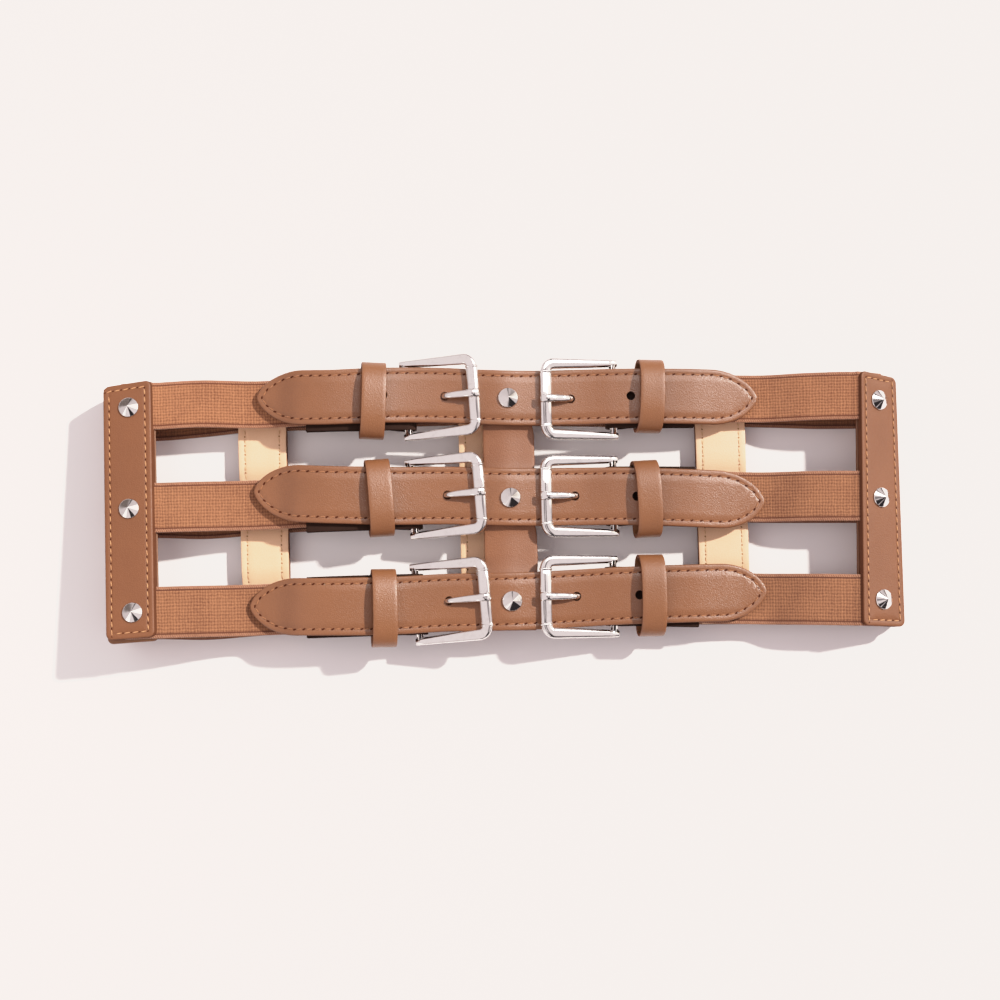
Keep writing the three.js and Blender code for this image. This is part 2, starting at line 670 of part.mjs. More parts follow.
function keeperSolid(row, side) {
  const spec = row[side];
  const centreZ = strapZ(spec.keeperX);
  const topZ = centreZ + strapThick / 2 + keeperHead;
  const chapeUnder = centreZ - stackDrop - (elasticThick / 2 + gap + plyThick);
  const bottomZ = chapeUnder - gap - keeperThick - 2 * slack;
  const tall = topZ - bottomZ;
  const walls = 2 * keeperThick;
  const outer = roundedRectangle(keeperTall, tall, keeperCorner);
  const inner = roundedRectangle(keeperTall - walls, tall - walls, keeperCorner - keeperThick);
  outer.holes.push(new THREE.Path(inner.getPoints(sides.corner)));
  const options = { depth: keeperWidth, bevelEnabled: false, curveSegments: sides.corner };
  const geometry = new THREE.ExtrudeGeometry(outer, options);
  geometry.translate(0, 0, -keeperWidth / 2);
  geometry.rotateY(Math.PI / 2);
  geometry.rotateX(Math.PI / 2);
  geometry.rotateY(-slopeAt(strapZ, spec.keeperX));
  geometry.rotateZ(spec.lean * deg);
  geometry.translate(spec.keeperX, spec.keeperY, (topZ + bottomZ) / 2);
  return toSolid(geometry);
}

// The slope of a band at x, taken over a few millimetres to each side
function slopeAt(height, x, reach = 4) {
  return Math.atan((height(x + reach) - height(x - reach)) / (2 * reach));
}

function roundedRectangle(width, tall, radius) {
  const w = width / 2;
  const h = tall / 2;
  const shape = new THREE.Shape();
  shape.moveTo(-w + radius, -h);
  shape.lineTo(w - radius, -h);
  shape.absarc(w - radius, -h + radius, radius, -Math.PI / 2, 0, false);
  shape.absarc(w - radius, h - radius, radius, 0, Math.PI / 2, false);
  shape.absarc(-w + radius, h - radius, radius, Math.PI / 2, Math.PI, false);
  shape.absarc(-w + radius, -h + radius, radius, Math.PI, Math.PI * 1.5, false);
  return shape;
}

// End tabs

// The middle of the elastic inside a tab, straight under the middle of the tab's face
function tabMiddle(side) {
  const tab = tabs[side];
  const tilt = Math.atan2(tab.outer.z - tab.inner.z, Math.abs(tab.outer.x - tab.inner.x));
  const depth = tabSkin + gap + elasticThick / 2;
  return {
    x: (tab.inner.x + tab.outer.x) / 2 + Math.sin(tilt) * depth * sideSign(side),
    z: (tab.inner.z + tab.outer.z) / 2 - Math.cos(tilt) * depth,
    tilt,
  };
}

// Puts a solid built flat, with the tab's face at z = 0 and its middle at the origin, into its place
function placeOnTab(geometry, side) {
  const tab = tabs[side];
  const { tilt } = tabMiddle(side);
  geometry.rotateY(-tilt * sideSign(side));
  geometry.translate((tab.inner.x + tab.outer.x) / 2, 0, (tab.inner.z + tab.outer.z) / 2);
  return geometry;
}

function tabPly(side, top, bottom) {
  const tab = tabs[side];
  const shape = roundedRectangle(tabWidth, tabTall, tabCorner);
  const options = { depth: top - bottom, bevelEnabled: false, curveSegments: sides.corner };
  const geometry = new THREE.ExtrudeGeometry(shape, options);
  geometry.translate(0, tab.middleY, bottom);
  return toSolid(placeOnTab(geometry, side));
}

function tabCutters(side) {
  const list = [];
  tabs[side].studs.forEach((stud) => {
    const hole = new THREE.CylinderGeometry(tabHoleRadius, tabHoleRadius, tabWidth, sides.stud);
    hole.rotateX(Math.PI / 2);
    hole.translate(0, stud.y, 0);
    list.push(toSolid(placeOnTab(hole, side)));
  });
  return list;
}

function tabFaceSolid(side) {
  let solid = tabPly(side, 0, -tabFaceThick);
  const channelDeep = tabFaceThick - tabSkin;
  rows.forEach((row) => {
    const channel = new THREE.BoxGeometry(2 * tabWidth, elasticWidth + tabRoom, 2 * channelDeep);
    const backY = through(backElasticLines[row.row - 1], 'y')(tabs[side].outer.x);
    channel.translate(0, (row[side].tabY + backY) / 2, -tabFaceThick);
    solid = solid.subtract(toSolid(placeOnTab(channel, side)));
  });
  tabCutters(side).forEach((cutter) => { solid = solid.subtract(cutter); });
  return solid;
}

function tabLiningSolid(side) {
  const top = -tabFaceThick - liningGap;
  let solid = tabPly(side, top, top - tabLiningThick);
  tabCutters(side).forEach((cutter) => { solid = solid.subtract(cutter); });
  return solid;
}

// Studs

function studGeometry(throughThick) {
  const profile = [
    [0, studHeight], [studRadius - studEdge, studRim], [studRadius, studRim / 2],
    [studRadius - studEdge, 0], [postRadius, 0],
    [postRadius, -throughThick], [studBackRadius, -throughThick],
    [studBackRadius, -throughThick - studBackThick], [0, -throughThick - studBackThick],
  ].reverse().map(([r, z]) => new THREE.Vector2(r, z));
  const geometry = new THREE.LatheGeometry(profile, sides.stud);
  geometry.rotateX(Math.PI / 2);
  return geometry;
}

// Sets a stud on a soft surface after it has settled, standing straight out of it
function placeStud(name, spot, along, across, throughThick) {
  const here = settle(spot);
  const a = settle(spot.clone().add(along)).sub(here);
  const b = settle(spot.clone().add(across)).sub(here);
  const normal = new THREE.Vector3().crossVectors(a, b).normalize();
  const inward = new THREE.Vector3().crossVectors(across, along).normalize();
  const below = settle(spot.clone().addScaledVector(inward, throughThick));
  // The post's length: the plies, the gaps at both faces, and room for the plies' twist
  const geometry = studGeometry(here.clone().sub(below).dot(normal) + 2 * gap + 4 * slack);
  const bare = toGeometry(toSolid(geometry));
  const mesh = addMesh(name, bare, polishedMetal);
  mesh.quaternion.setFromUnitVectors(new THREE.Vector3(0, 0, 1), normal);
  mesh.position.copy(here).addScaledVector(normal, gap);
}

// Back layer

// A band whose middle line turns back under itself, with its thickness across the line
function foldedProfile(line, thick) {
  const left = [];
  const right = [];
  line.forEach((p, i) => {
    const before = line[Math.max(0, i - 1)];
    const after = line[Math.min(line.length - 1, i + 1)];
    const length = Math.hypot(after.x - before.x, after.z - before.z);
    const nx = -(after.z - before.z) / length;
    const nz = (after.x - before.x) / length;
    left.push([p.x + nx * thick / 2, p.z + nz * thick / 2]);
    right.push([p.x - nx * thick / 2, p.z - nz * thick / 2]);
  });
  return polygon(left.concat(right.reverse()));
}

// The end of a back elastic inside a tab, from near the tab's middle out to its outer edge
function heldStretch(side) {
  const middle = tabMiddle(side);
  return [foldReach.from, foldReach.to].map((along) => ({
    x: middle.x + sideSign(side) * along * Math.cos(middle.tilt),
    z: middle.z + along * Math.sin(middle.tilt),
  }));
}

function backElasticSolid(index) {
  const table = backElasticLines[index];
  const line = heldStretch('left').concat(leftFold, floorLine, rightFold, heldStretch('right').reverse());
  const profile = foldedProfile(line, elasticThick);
  const half = elasticWidth / 2;
  const top = table.map((p) => [p.x, p.y + half]);
  const bottom = table.map((p) => [p.x, p.y - half]).reverse();
  const outline = polygon(bottom.concat(top).reverse());
  return profileSolid(profile, -beyond.across, beyond.across)
    .intersect(planSolid(outline, beyond.low, beyond.high));
}

function stripPly(strip, z0, z1) {
  const half = stripWidth / 2;
  const up = stripMiddleY + stripTall / 2;
  const down = stripMiddleY - stripTall / 2;
  const lean = strip.slant;
  return planSolid(polygon([
    [strip.x + lean - half, down], [strip.x + lean + half, down],
    [strip.x - lean + half, up], [strip.x - lean - half, up],
  ]), z0, z1);
}

function backStripSolid(strip) {
  let solid = stripPly(strip, 0, stripFaceThick);
  rows.forEach((row) => {
    const rowY = through(backElasticLines[row.row - 1], 'y')(strip.x);
    const channel = new THREE.BoxGeometry(2 * stripWidth, elasticWidth + stripRoom, stripFaceThick);
    channel.translate(strip.x, rowY, stripSkin + stripFaceThick / 2);
    solid = solid.subtract(toSolid(channel));
  });
  return solid;
}

function centreStripSolid() {
  const middleZ = (x) => strapZ(x) - strapThick / 2 - gap - centreStripThick / 2;
  const xs = stations(centreStripLeft, centreStripRight, [0]);
  const up = stripMiddleY + stripTall / 2;
  const down = stripMiddleY - stripTall / 2;
  let solid = bandSolid(xs, middleZ, centreStripThick, polygon([
    [centreStripLeft, down], [centreStripRight, down],
    [centreStripRight - stripSlant, up], [centreStripLeft, up],
  ]));
  rows.forEach((row) => {
    solid = solid.subtract(roundCutter(row.stud, postRadius + 2 * gap));
  });
  return solid;
}

// Assembly

rows.forEach((row) => {
  addSoft(`strap_${row.row}`, strapSolid(row), brownLeather);
  ['left', 'right'].forEach((side) => {
    const stand = buckleStand(row[side], side);
    const matrix = standMatrix(stand);
    addSoft(`front_elastic_${side}_${row.row}`, frontElasticSolid(row, side), brownElastic);
    addSoft(`chape_${side}_${row.row}`, chapeSolid(row, side), darkLeather);
    addSoft(`keeper_${side}_${row.row}`, keeperSolid(row, side), brownLeather);
    const buckle = addMesh(`buckle_${side}_${row.row}`, toGeometry(frameSolid()), polishedMetal);
    buckle.applyMatrix4(matrix);
    const prong = addMesh(`prong_${side}_${row.row}`, toGeometry(prongSolid(stand, side)), polishedMetal);
    prong.applyMatrix4(matrix);
  });
  const studTop = new THREE.Vector3(row.stud.x, row.stud.y, strapZ(row.stud.x) + strapThick / 2);
  const slope = slopeAt(strapZ, row.stud.x);
  placeStud(
    `stud_centre_${row.row}`, studTop, new THREE.Vector3(1, 0, Math.tan(slope)), new THREE.Vector3(0, 1, 0),
    strapThick + gap + centreStripThick,
  );
  addSoft(`back_elastic_${row.row}`, backElasticSolid(row.row - 1), brownElastic);
});

addSoft('centre_strip', centreStripSolid(), brownLeather);

['left', 'right'].forEach((side) => {
  const tab = tabs[side];
  addSoft(`tab_face_${side}`, tabFaceSolid(side), brownLeather);
  addSoft(`tab_lining_${side}`, tabLiningSolid(side), creamLining);
  const { tilt } = tabMiddle(side);
  const sign = sideSign(side);
  const along = new THREE.Vector3(Math.cos(tilt), 0, Math.sin(tilt) * sign);
  const centre = { x: (tab.inner.x + tab.outer.x) / 2, z: (tab.inner.z + tab.outer.z) / 2 };
  tab.studs.forEach((stud) => {
    const spot = new THREE.Vector3(centre.x, stud.y, centre.z);
    placeStud(
      `stud_${side}_${stud.row}`, spot, along, new THREE.Vector3(0, 1, 0),
      tabFaceThick + liningGap + tabLiningThick,
    );
  });
});

backStrips.forEach((strip) => {
  addSoft(`back_strip_${strip.side}`, backStripSolid(strip), brownLeather);
  const lining = stripPly(strip, stripFaceThick + gap, stripFaceThick + gap + plyThick);
  addSoft(`back_strip_lining_${strip.side}`, lining, creamLining);
});

// The origin is on the surface, under the middle of the belt's box
belt.updateMatrixWorld(true);
const box = new THREE.Box3().setFromObject(belt, true);
belt.position.set(-(box.min.x + box.max.x) / 2, -(box.min.y + box.max.y) / 2, -box.min.z);

export default belt;
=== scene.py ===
"""The looks of an elastic waist belt with three buckled strap rows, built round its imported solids.

Sizes are in millimetres in the belt's own frame: +X to the right, +Y up the front, +Z up from the floor.
They become metres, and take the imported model's origin, when a piece is made an object.
"""

import json
import logging
import math
from dataclasses import dataclass, field, replace
from enum import Enum
from functools import cached_property
from typing import Callable, Optional, Sequence, Union

import bmesh
import bpy
from mathutils import Matrix, Vector

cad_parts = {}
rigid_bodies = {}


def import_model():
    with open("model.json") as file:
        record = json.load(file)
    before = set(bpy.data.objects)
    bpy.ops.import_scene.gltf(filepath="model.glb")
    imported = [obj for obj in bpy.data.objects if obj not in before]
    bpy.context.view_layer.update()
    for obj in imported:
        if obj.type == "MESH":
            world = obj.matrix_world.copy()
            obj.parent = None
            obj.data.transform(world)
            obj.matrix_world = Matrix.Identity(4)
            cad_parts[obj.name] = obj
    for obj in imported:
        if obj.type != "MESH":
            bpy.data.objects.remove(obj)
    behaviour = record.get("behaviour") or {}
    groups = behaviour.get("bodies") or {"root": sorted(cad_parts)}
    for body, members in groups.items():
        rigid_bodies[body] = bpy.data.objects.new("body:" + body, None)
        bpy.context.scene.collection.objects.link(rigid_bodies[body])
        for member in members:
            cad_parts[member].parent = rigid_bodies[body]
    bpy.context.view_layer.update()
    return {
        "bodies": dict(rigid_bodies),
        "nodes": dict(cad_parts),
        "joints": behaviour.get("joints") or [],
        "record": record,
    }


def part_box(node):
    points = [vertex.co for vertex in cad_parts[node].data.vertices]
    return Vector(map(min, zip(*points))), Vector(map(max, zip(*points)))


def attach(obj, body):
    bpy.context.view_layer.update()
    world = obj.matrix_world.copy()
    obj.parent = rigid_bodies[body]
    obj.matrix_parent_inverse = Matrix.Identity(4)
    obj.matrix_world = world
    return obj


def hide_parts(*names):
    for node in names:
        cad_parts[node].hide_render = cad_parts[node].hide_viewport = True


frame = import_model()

MM = 0.001
UV_SPAN = 400.0
log = logging.getLogger("belt")


class Side(Enum):
    """The two ends of the belt, as seen from above its front."""

    LEFT = "left"
    RIGHT = "right"

    @property
    def sign(self) -> int:
        """Gives -1 for the left end and 1 for the right end."""
        return -1 if self is Side.LEFT else 1


def smooth_step(share: float) -> float:
    """Eases a share between 0 and 1, and holds it there beyond them."""
    held = min(1.0, max(0.0, share))
    return held * held * (3 - 2 * held)


@dataclass(frozen=True)
class SmoothLine:
    """A smooth line through (place, value) pairs, as the solids follow it."""

    knots: tuple[tuple[float, float], ...]

    def _slope(self, index: int) -> float:
        """Gives the slope at a knot, from its neighbours.

        Args:
            index: the knot's number.

        Returns:
            The slope of the line from the knot before to the knot after.
        """
        before = self.knots[max(0, index - 1)]
        after = self.knots[min(len(self.knots) - 1, index + 1)]
        return (after[1] - before[1]) / (after[0] - before[0])

    def at(self, place: float) -> float:
        """Reads the line.

        Args:
            place: where along the line, in the knots' own unit.

        Returns:
            The value there, held at the end values beyond the knots.
        """
        i = 0
        while i < len(self.knots) - 2 and place > self.knots[i + 1][0]:
            i += 1
        low, high = self.knots[i], self.knots[i + 1]
        span = high[0] - low[0]
        t = min(1.0, max(0.0, (place - low[0]) / span))
        t2, t3 = t * t, t * t * t
        return (
            (2 * t3 - 3 * t2 + 1) * low[1]
            + (t3 - 2 * t2 + t) * span * self._slope(i)
            + (3 * t2 - 2 * t3) * high[1]
            + (t3 - t2) * span * self._slope(i + 1)
        )

    def angle(self, place: float, reach: float = 4.0) -> float:
        """Gives the line's angle at a place, taken over a few millimetres to each side."""
        return math.atan((self.at(place + reach) - self.at(place - reach)) / (2 * reach))


def flowing(points: Sequence[tuple[float, float]], step: float) -> list[tuple[float, float]]:
    """Draws a smooth line through points that may turn back under themselves.

    Args:
        points: the places that the line goes through.
        step: the spacing of the new places, at most.

    Returns:
        Places along the smooth line, from the first point to the last.
    """
    drawn = [points[0]]
    for i in range(len(points) - 1):
        p0, p1 = points[max(0, i - 1)], points[i]
        p2, p3 = points[i + 1], points[min(len(points) - 1, i + 2)]
        length = math.dist(p1, p2)
        pull = 0.5 * length
        first = _unit(p0, p2)
        last = _unit(p1, p3)
        count = max(1, math.ceil(length / step))
        for k in range(1, count + 1):
            t = k / count
            t2, t3 = t * t, t * t * t
            h0, h1, h2, h3 = 2 * t3 - 3 * t2 + 1, t3 - 2 * t2 + t, 3 * t2 - 2 * t3, t3 - t2
            drawn.append(
                tuple(
                    h0 * p1[a] + 2 * pull * h1 * first[a] + h2 * p2[a] + 2 * pull * h3 * last[a]
                    for a in (0, 1)
                )
            )
    return drawn


def _unit(start: tuple[float, float], end: tuple[float, float]) -> tuple[float, float]:
    """Gives the direction from one point to another, of length 1."""
    length = math.dist(start, end) or 1.0
    return ((end[0] - start[0]) / length, (end[1] - start[1]) / length)


def spread(low: float, high: float, step: float) -> list[float]:
    """Gives even places from low to high, at most a step apart."""
    count = max(1, math.ceil((high - low) / step))
    return [low + (high - low) * k / count for k in range(count + 1)]


@dataclass(frozen=True)
class BeltSizes:
    """The sizes that several pieces share.

    A gap parts pieces that would rub in the real belt, and the slack is what soft layers add to it.
    """

    gap: float = 0.3
    slack: float = 0.1
    strap_width: float = 23.6
    strap_thick: float = 2.0
    elastic_width: float = 20.0
    elastic_thick: float = 1.2
    tab_face_thick: float = 3.1
    ply_thick: float = 1.2
    bend_radius: float = 3.0
    frame_reach: float = 30.0
    front_bar_radius: float = 2.4
    front_bar_rise: float = 1.5
    heel_bar_radius: float = 1.6

    @property
    def under_strap(self) -> float:
        """Gives the drop from a strap's middle to the top of what lies under it."""
        return self.strap_thick / 2 + self.gap + self.slack

    @property
    def bar_drop(self) -> float:
        """Gives the drop from a strap's middle to a heel bar."""
        return self.under_strap + self.slack + self.bend_radius + self.ply_thick / 2

    @property
    def stack_drop(self) -> float:
        """Gives the drop from a strap's middle to the elastic held in a chape."""
        return self.under_strap + self.ply_thick + self.gap + self.elastic_thick / 2


SIZES = BeltSizes()

STRAP_HEIGHT = SmoothLine(
    (
        (-112, 15.6), (-98, 16.6), (-88, 20.0), (-78, 21.0), (-66, 20.6), (-56, 19.6), (-42, 17.5),
        (-30, 16.6), (-20, 16.5), (-11, 16.7), (0, 17.1), (9, 15.9), (18, 14.8), (30, 14.3),
        (38, 14.6), (47, 15.5), (62, 16.3), (80, 16.2), (92, 14.8), (102, 13.6), (113, 13.0),
    )
)
FREE_ELASTIC = {
    Side.LEFT: (
        (-166, 19.3), (-150, 19.0), (-142, 18.8), (-130, 17.3), (-118, 14.9), (-108, 13.6),
        (-98, 14.3), (-88, 16.6),
    ),
    Side.RIGHT: (
        (86, 12.8), (92, 12.2), (102, 10.9), (113, 10.6), (120, 12.6), (128, 15.3), (140, 17.2),
        (148, 17.4), (151.4, 16.9),
    ),
}
HELD_PLACES = {Side.LEFT: (-80, -72, -66, -60), Side.RIGHT: (64, 68, 74, 80)}
ELASTIC_END = {Side.LEFT: -60.0, Side.RIGHT: 65.0}
CHAPE_END = {Side.LEFT: -85.0, Side.RIGHT: 82.0}
CHAPE_FLARE = {Side.LEFT: 0.13, Side.RIGHT: 0.1}
KEEPER_SHEAR = {Side.LEFT: 0.0, Side.RIGHT: 0.22}
TAB_SLANTS = {Side.LEFT: (0.145, 0.065), Side.RIGHT: (-0.1, -0.03)}
LEFT_FOLD = (
    (-169.7, 19.3), (-170.0, 17.4), (-170.0, 8.5), (-169.1, 4.6), (-166.4, 1.8), (-161.6, 0.75),
)
FLOOR_LINE = (
    (-142, 0.7), (-122, 1.2), (-115.5, 2.4), (-93, 2.4), (-86.5, 1.4), (-70, 0.75), (-36, 0.75),
    (-26, 1.4), (-20, 2.4), (2.4, 2.4), (9, 1.4), (22, 0.75), (66, 0.75), (76.5, 1.4), (83, 2.4),
    (105.5, 2.4), (112, 1.4), (126, 0.75), (154, 0.7),
)
RIGHT_FOLD = ((162.8, 0.75), (166.6, 1.35), (168.9, 3.2), (169.7, 6.0), (169.8, 8.4))
FOLD_REACH = (4.4, 9.4)
TAB_MIDDLE = 161.0
BOW_MIDDLE = 130
BOW_REACH = 26


@dataclass(frozen=True)
class BuckleSpot:
    """Where one buckle, its chape and its keeper lie.

    The yaw turns the buckle and the lean its keeper, in degrees in plan. The hole in use lies
    ahead of the heel bar, and the spare hole lies the pitch further out.
    """

    heel_x: float
    heel_y: float
    yaw: float
    tab_y: float
    keeper_x: float
    keeper_y: float
    lean: float
    hole_ahead: float
    hole_pitch: float
    keeper_tall: float = 33.4


@dataclass(frozen=True)
class RowPlan:
    """One row of the front in plan.

    The strap follows the line and the back elastic the back line. The swell is how much wider the
    strap is than its plain size, and the bow how far its left elastic bows upwards.
    """

    number: int
    stud: tuple[float, float]
    strap_left: float
    strap_right: float
    line: SmoothLine
    back_line: SmoothLine
    spots: dict[Side, BuckleSpot]
    elastic_width: float
    swell: float
    bow: float = 0.0

    def elastic_y(self, side: Side, x: float) -> float:
        """Gives the middle of a front elastic, which runs nearly straight from its tab to its buckle.

        Args:
            side: the elastic's side.
            x: a place along the belt.

        Returns:
            How far up the belt the elastic's middle lies there.
        """
        spot = self.spots[side]
        tab_x = side.sign * TAB_MIDDLE
        share = (x - tab_x) / (spot.heel_x - tab_x)
        bow = self.bow * smooth_step(1 - abs(abs(x) - BOW_MIDDLE) / BOW_REACH) if side is Side.LEFT else 0.0
        return spot.tab_y + (spot.heel_y - spot.tab_y) * share + bow


ROWS = (
    RowPlan(
        number=1,
        stud=(2.0, 43.9),
        strap_left=-106.4,
        strap_right=109.8,
        line=SmoothLine(
            (
                (-107, 45.8), (-78, 44.9), (-60, 45.4), (-43, 45.9), (-26, 45.6), (2, 44.0), (30, 44.2),
                (50, 44.2), (86, 43.4), (110, 42.7),
            )
        ),
        back_line=SmoothLine(
            (
                (-174, 40.6), (-150, 40.0), (-132, 41.2), (-115, 42.6), (-90, 43.4), (-30, 44.6),
                (50, 43.0), (118, 41.5), (136, 40.7), (174, 40.5),
            )
        ),
        spots={
            Side.LEFT: BuckleSpot(
                heel_x=-42.0, heel_y=44.0, yaw=3.6, tab_y=42.6, keeper_x=-56.2, keeper_y=43.6, lean=-2.2,
                hole_ahead=17.3, hole_pitch=26.5,
            ),
            Side.RIGHT: BuckleSpot(
                heel_x=47.5, heel_y=43.4, yaw=0.0, tab_y=42.4, keeper_x=63.0, keeper_y=44.2, lean=-2.7,
                hole_ahead=19.0, hole_pitch=25.9, keeper_tall=32.0,
            ),
        },
        elastic_width=20.6,
        swell=1.015,
        bow=0.8,
    ),
    RowPlan(
        number=2,
        stud=(2.4, 0.7),
        strap_left=-107.8,
        strap_right=111.8,
        line=SmoothLine(
            (
                (-108, 5.2), (-78, 3.0), (-50, 2.2), (-26, 2.2), (2, 1.1), (30, 1.1), (50, 0.8),
                (86, -0.8), (112, -2.1),
            )
        ),
        back_line=SmoothLine(
            (
                (-174, -2.3), (-150, -2.8), (-130, -3.5), (-95, -1.5), (-30, 1.5), (50, 0.6),
                (130, -0.6), (174, -1.2),
            )
        ),
        spots={
            Side.LEFT: BuckleSpot(
                heel_x=-39.9, heel_y=1.2, yaw=3.9, tab_y=-1.7, keeper_x=-53.7, keeper_y=1.6, lean=4.1,
                hole_ahead=15.8, hole_pitch=26.6,
            ),
            Side.RIGHT: BuckleSpot(
                heel_x=46.9, heel_y=1.3, yaw=0.2, tab_y=-1.0, keeper_x=60.8, keeper_y=-0.3, lean=2.2,
                hole_ahead=17.3, hole_pitch=26.4,
            ),
        },
        elastic_width=21.5,
        swell=1.055,
    ),
    RowPlan(
        number=3,
        stud=(2.4, -43.6),
        strap_left=-109.7,
        strap_right=111.6,
        line=SmoothLine(
            (
                (-110, -44.1), (-78, -44.9), (-50, -44.8), (-26, -43.8), (2, -43.7), (30, -42.7),
                (50, -41.9), (86, -41.3), (112, -40.8),
            )
        ),
        back_line=SmoothLine(
            (
                (-174, -46.6), (-150, -46.9), (-130, -47.4), (-95, -45.4), (-30, -43.8), (130, -44.5),
                (174, -44.9),
            )
        ),
        spots={
            Side.LEFT: BuckleSpot(
                heel_x=-38.2, heel_y=-44.1, yaw=4.2, tab_y=-46.6, keeper_x=-52.2, keeper_y=-45.6, lean=0.3,
                hole_ahead=14.2, hole_pitch=27.2,
            ),
            Side.RIGHT: BuckleSpot(
                heel_x=46.0, heel_y=-41.9, yaw=0.1, tab_y=-45.7, keeper_x=61.8, keeper_y=-41.8, lean=0.0,
                hole_ahead=16.5, hole_pitch=26.8, keeper_tall=35.0,
            ),
        },
        elastic_width=21.9,
        swell=1.045,
    ),
)


@dataclass(frozen=True)
class TabPlan:
    """How an end tab stands.

    The edges of its face are given as x and z, and its studs on the flat face. Its inner wall
    flares downwards, and its lining shows below its foot.
    """

    side: Side
    inner: tuple[float, float]
    outer: tuple[float, float]
    middle_y: float
    tall: float
    studs: tuple[tuple[float, float], ...]
    flare: float
    foot: float

    @property
    def width(self) -> float:
        """Gives the width of the face."""
        return math.dist(self.inner, self.outer)

    @property
    def tilt(self) -> float:
        """Gives the face's angle from level, rising outwards."""
        return math.atan2(self.outer[1] - self.inner[1], abs(self.outer[0] - self.inner[0]))

    @property
    def centre(self) -> tuple[float, float]:
        """Gives the middle of the face, as x and z."""
        return ((self.inner[0] + self.outer[0]) / 2, (self.inner[1] + self.outer[1]) / 2)

    @property
    def held(self) -> tuple[float, float]:
        """Works out the middle of the elastic inside the tab, under the middle of the face.

        Returns:
            The place, as x and z.
        """
        depth = SIZES.tab_face_thick / 2 + SIZES.gap + SIZES.elastic_thick / 2
        x, z = self.centre
        return (x + math.sin(self.tilt) * depth * self.side.sign, z - math.cos(self.tilt) * depth)

    def place(self, point: Vector) -> Vector:
        """Puts a point of a tab built flat onto the belt.

        Args:
            point: the point, with the tab's face at zero height.

        Returns:
            Its place on the belt, before the ends settle.
        """
        turned = Matrix.Rotation(-self.tilt * self.side.sign, 3, "Y") @ point
        x, z = self.centre
        return Vector((turned.x + x, turned.y, turned.z + z))


TABS = {
    Side.LEFT: TabPlan(
        side=Side.LEFT,
        inner=(-150.3, 22.4),
        outer=(-170.6, 22.4),
        middle_y=-2.3,
        tall=110.0,
        studs=((0.75, 42.1), (0.35, -2.0), (1.15, -46.4)),
        flare=1.3,
        foot=1.6,
    ),
    Side.RIGHT: TabPlan(
        side=Side.RIGHT,
        inner=(152.7, 20.4),
        outer=(170.7, 11.05),
        middle_y=-2.3,
        tall=108.5,
        studs=((-0.3, 40.6), (-0.3, -1.5), (-0.3, -45.2)),
        flare=0.0,
        foot=0.0,
    ),
}


@dataclass(frozen=True)
class Settling:
    """How the ends of the flattened loop lean and stand unevenly."""

    left_rise: float = 0.16
    right_rise: float = 0.05
    left_lean: float = 1.8
    right_lean_inner: float = 1.05
    right_lean_outer: float = -0.15
    half_spread: float = 45.0
    half_tab: float = 54.0
    left_start: float = -100
    left_reach: float = 50
    right_start: float = 115
    right_reach: float = 35

    def move(self, point: Vector) -> Vector:
        """Gives where a point lies once the ends have settled.

        Args:
            point: the point on a belt whose ends stand evenly.

        Returns:
            The point, moved by more the nearer it is to an end.
        """
        left = smooth_step((self.left_start - point.x) / self.left_reach)
        right = smooth_step((point.x - self.right_start) / self.right_reach)
        rise = 1 + (right * self.right_rise - left * self.left_rise) * (point.y / self.half_spread)
        tab = TABS[Side.RIGHT]
        outward = (point.x - tab.inner[0]) / (tab.outer[0] - tab.inner[0])
        lean = self.right_lean_inner + (self.right_lean_outer - self.right_lean_inner) * outward
        shift = (right * lean - left * self.left_lean) * (point.y / self.half_tab)
        return Vector((point.x + shift, point.y, point.z * rise))


SETTLING = Settling()


def between_rows(y: float) -> float:
    """Tells whether a place up the belt is under a strap or between two.

    Args:
        y: the place.

    Returns:
        1 midway between two rows of straps, and 0 under a strap and beyond the outer rows.
    """
    pressed, eased = 8.5, 6.5
    middles = [plan.stud[1] for plan in ROWS]
    if not min(middles) < y < max(middles):
        return 0.0
    return smooth_step((min(abs(y - middle) for middle in middles) - pressed) / eased)


# Shader building


Number = Union["Value", float]
Inputs = Optional[dict]


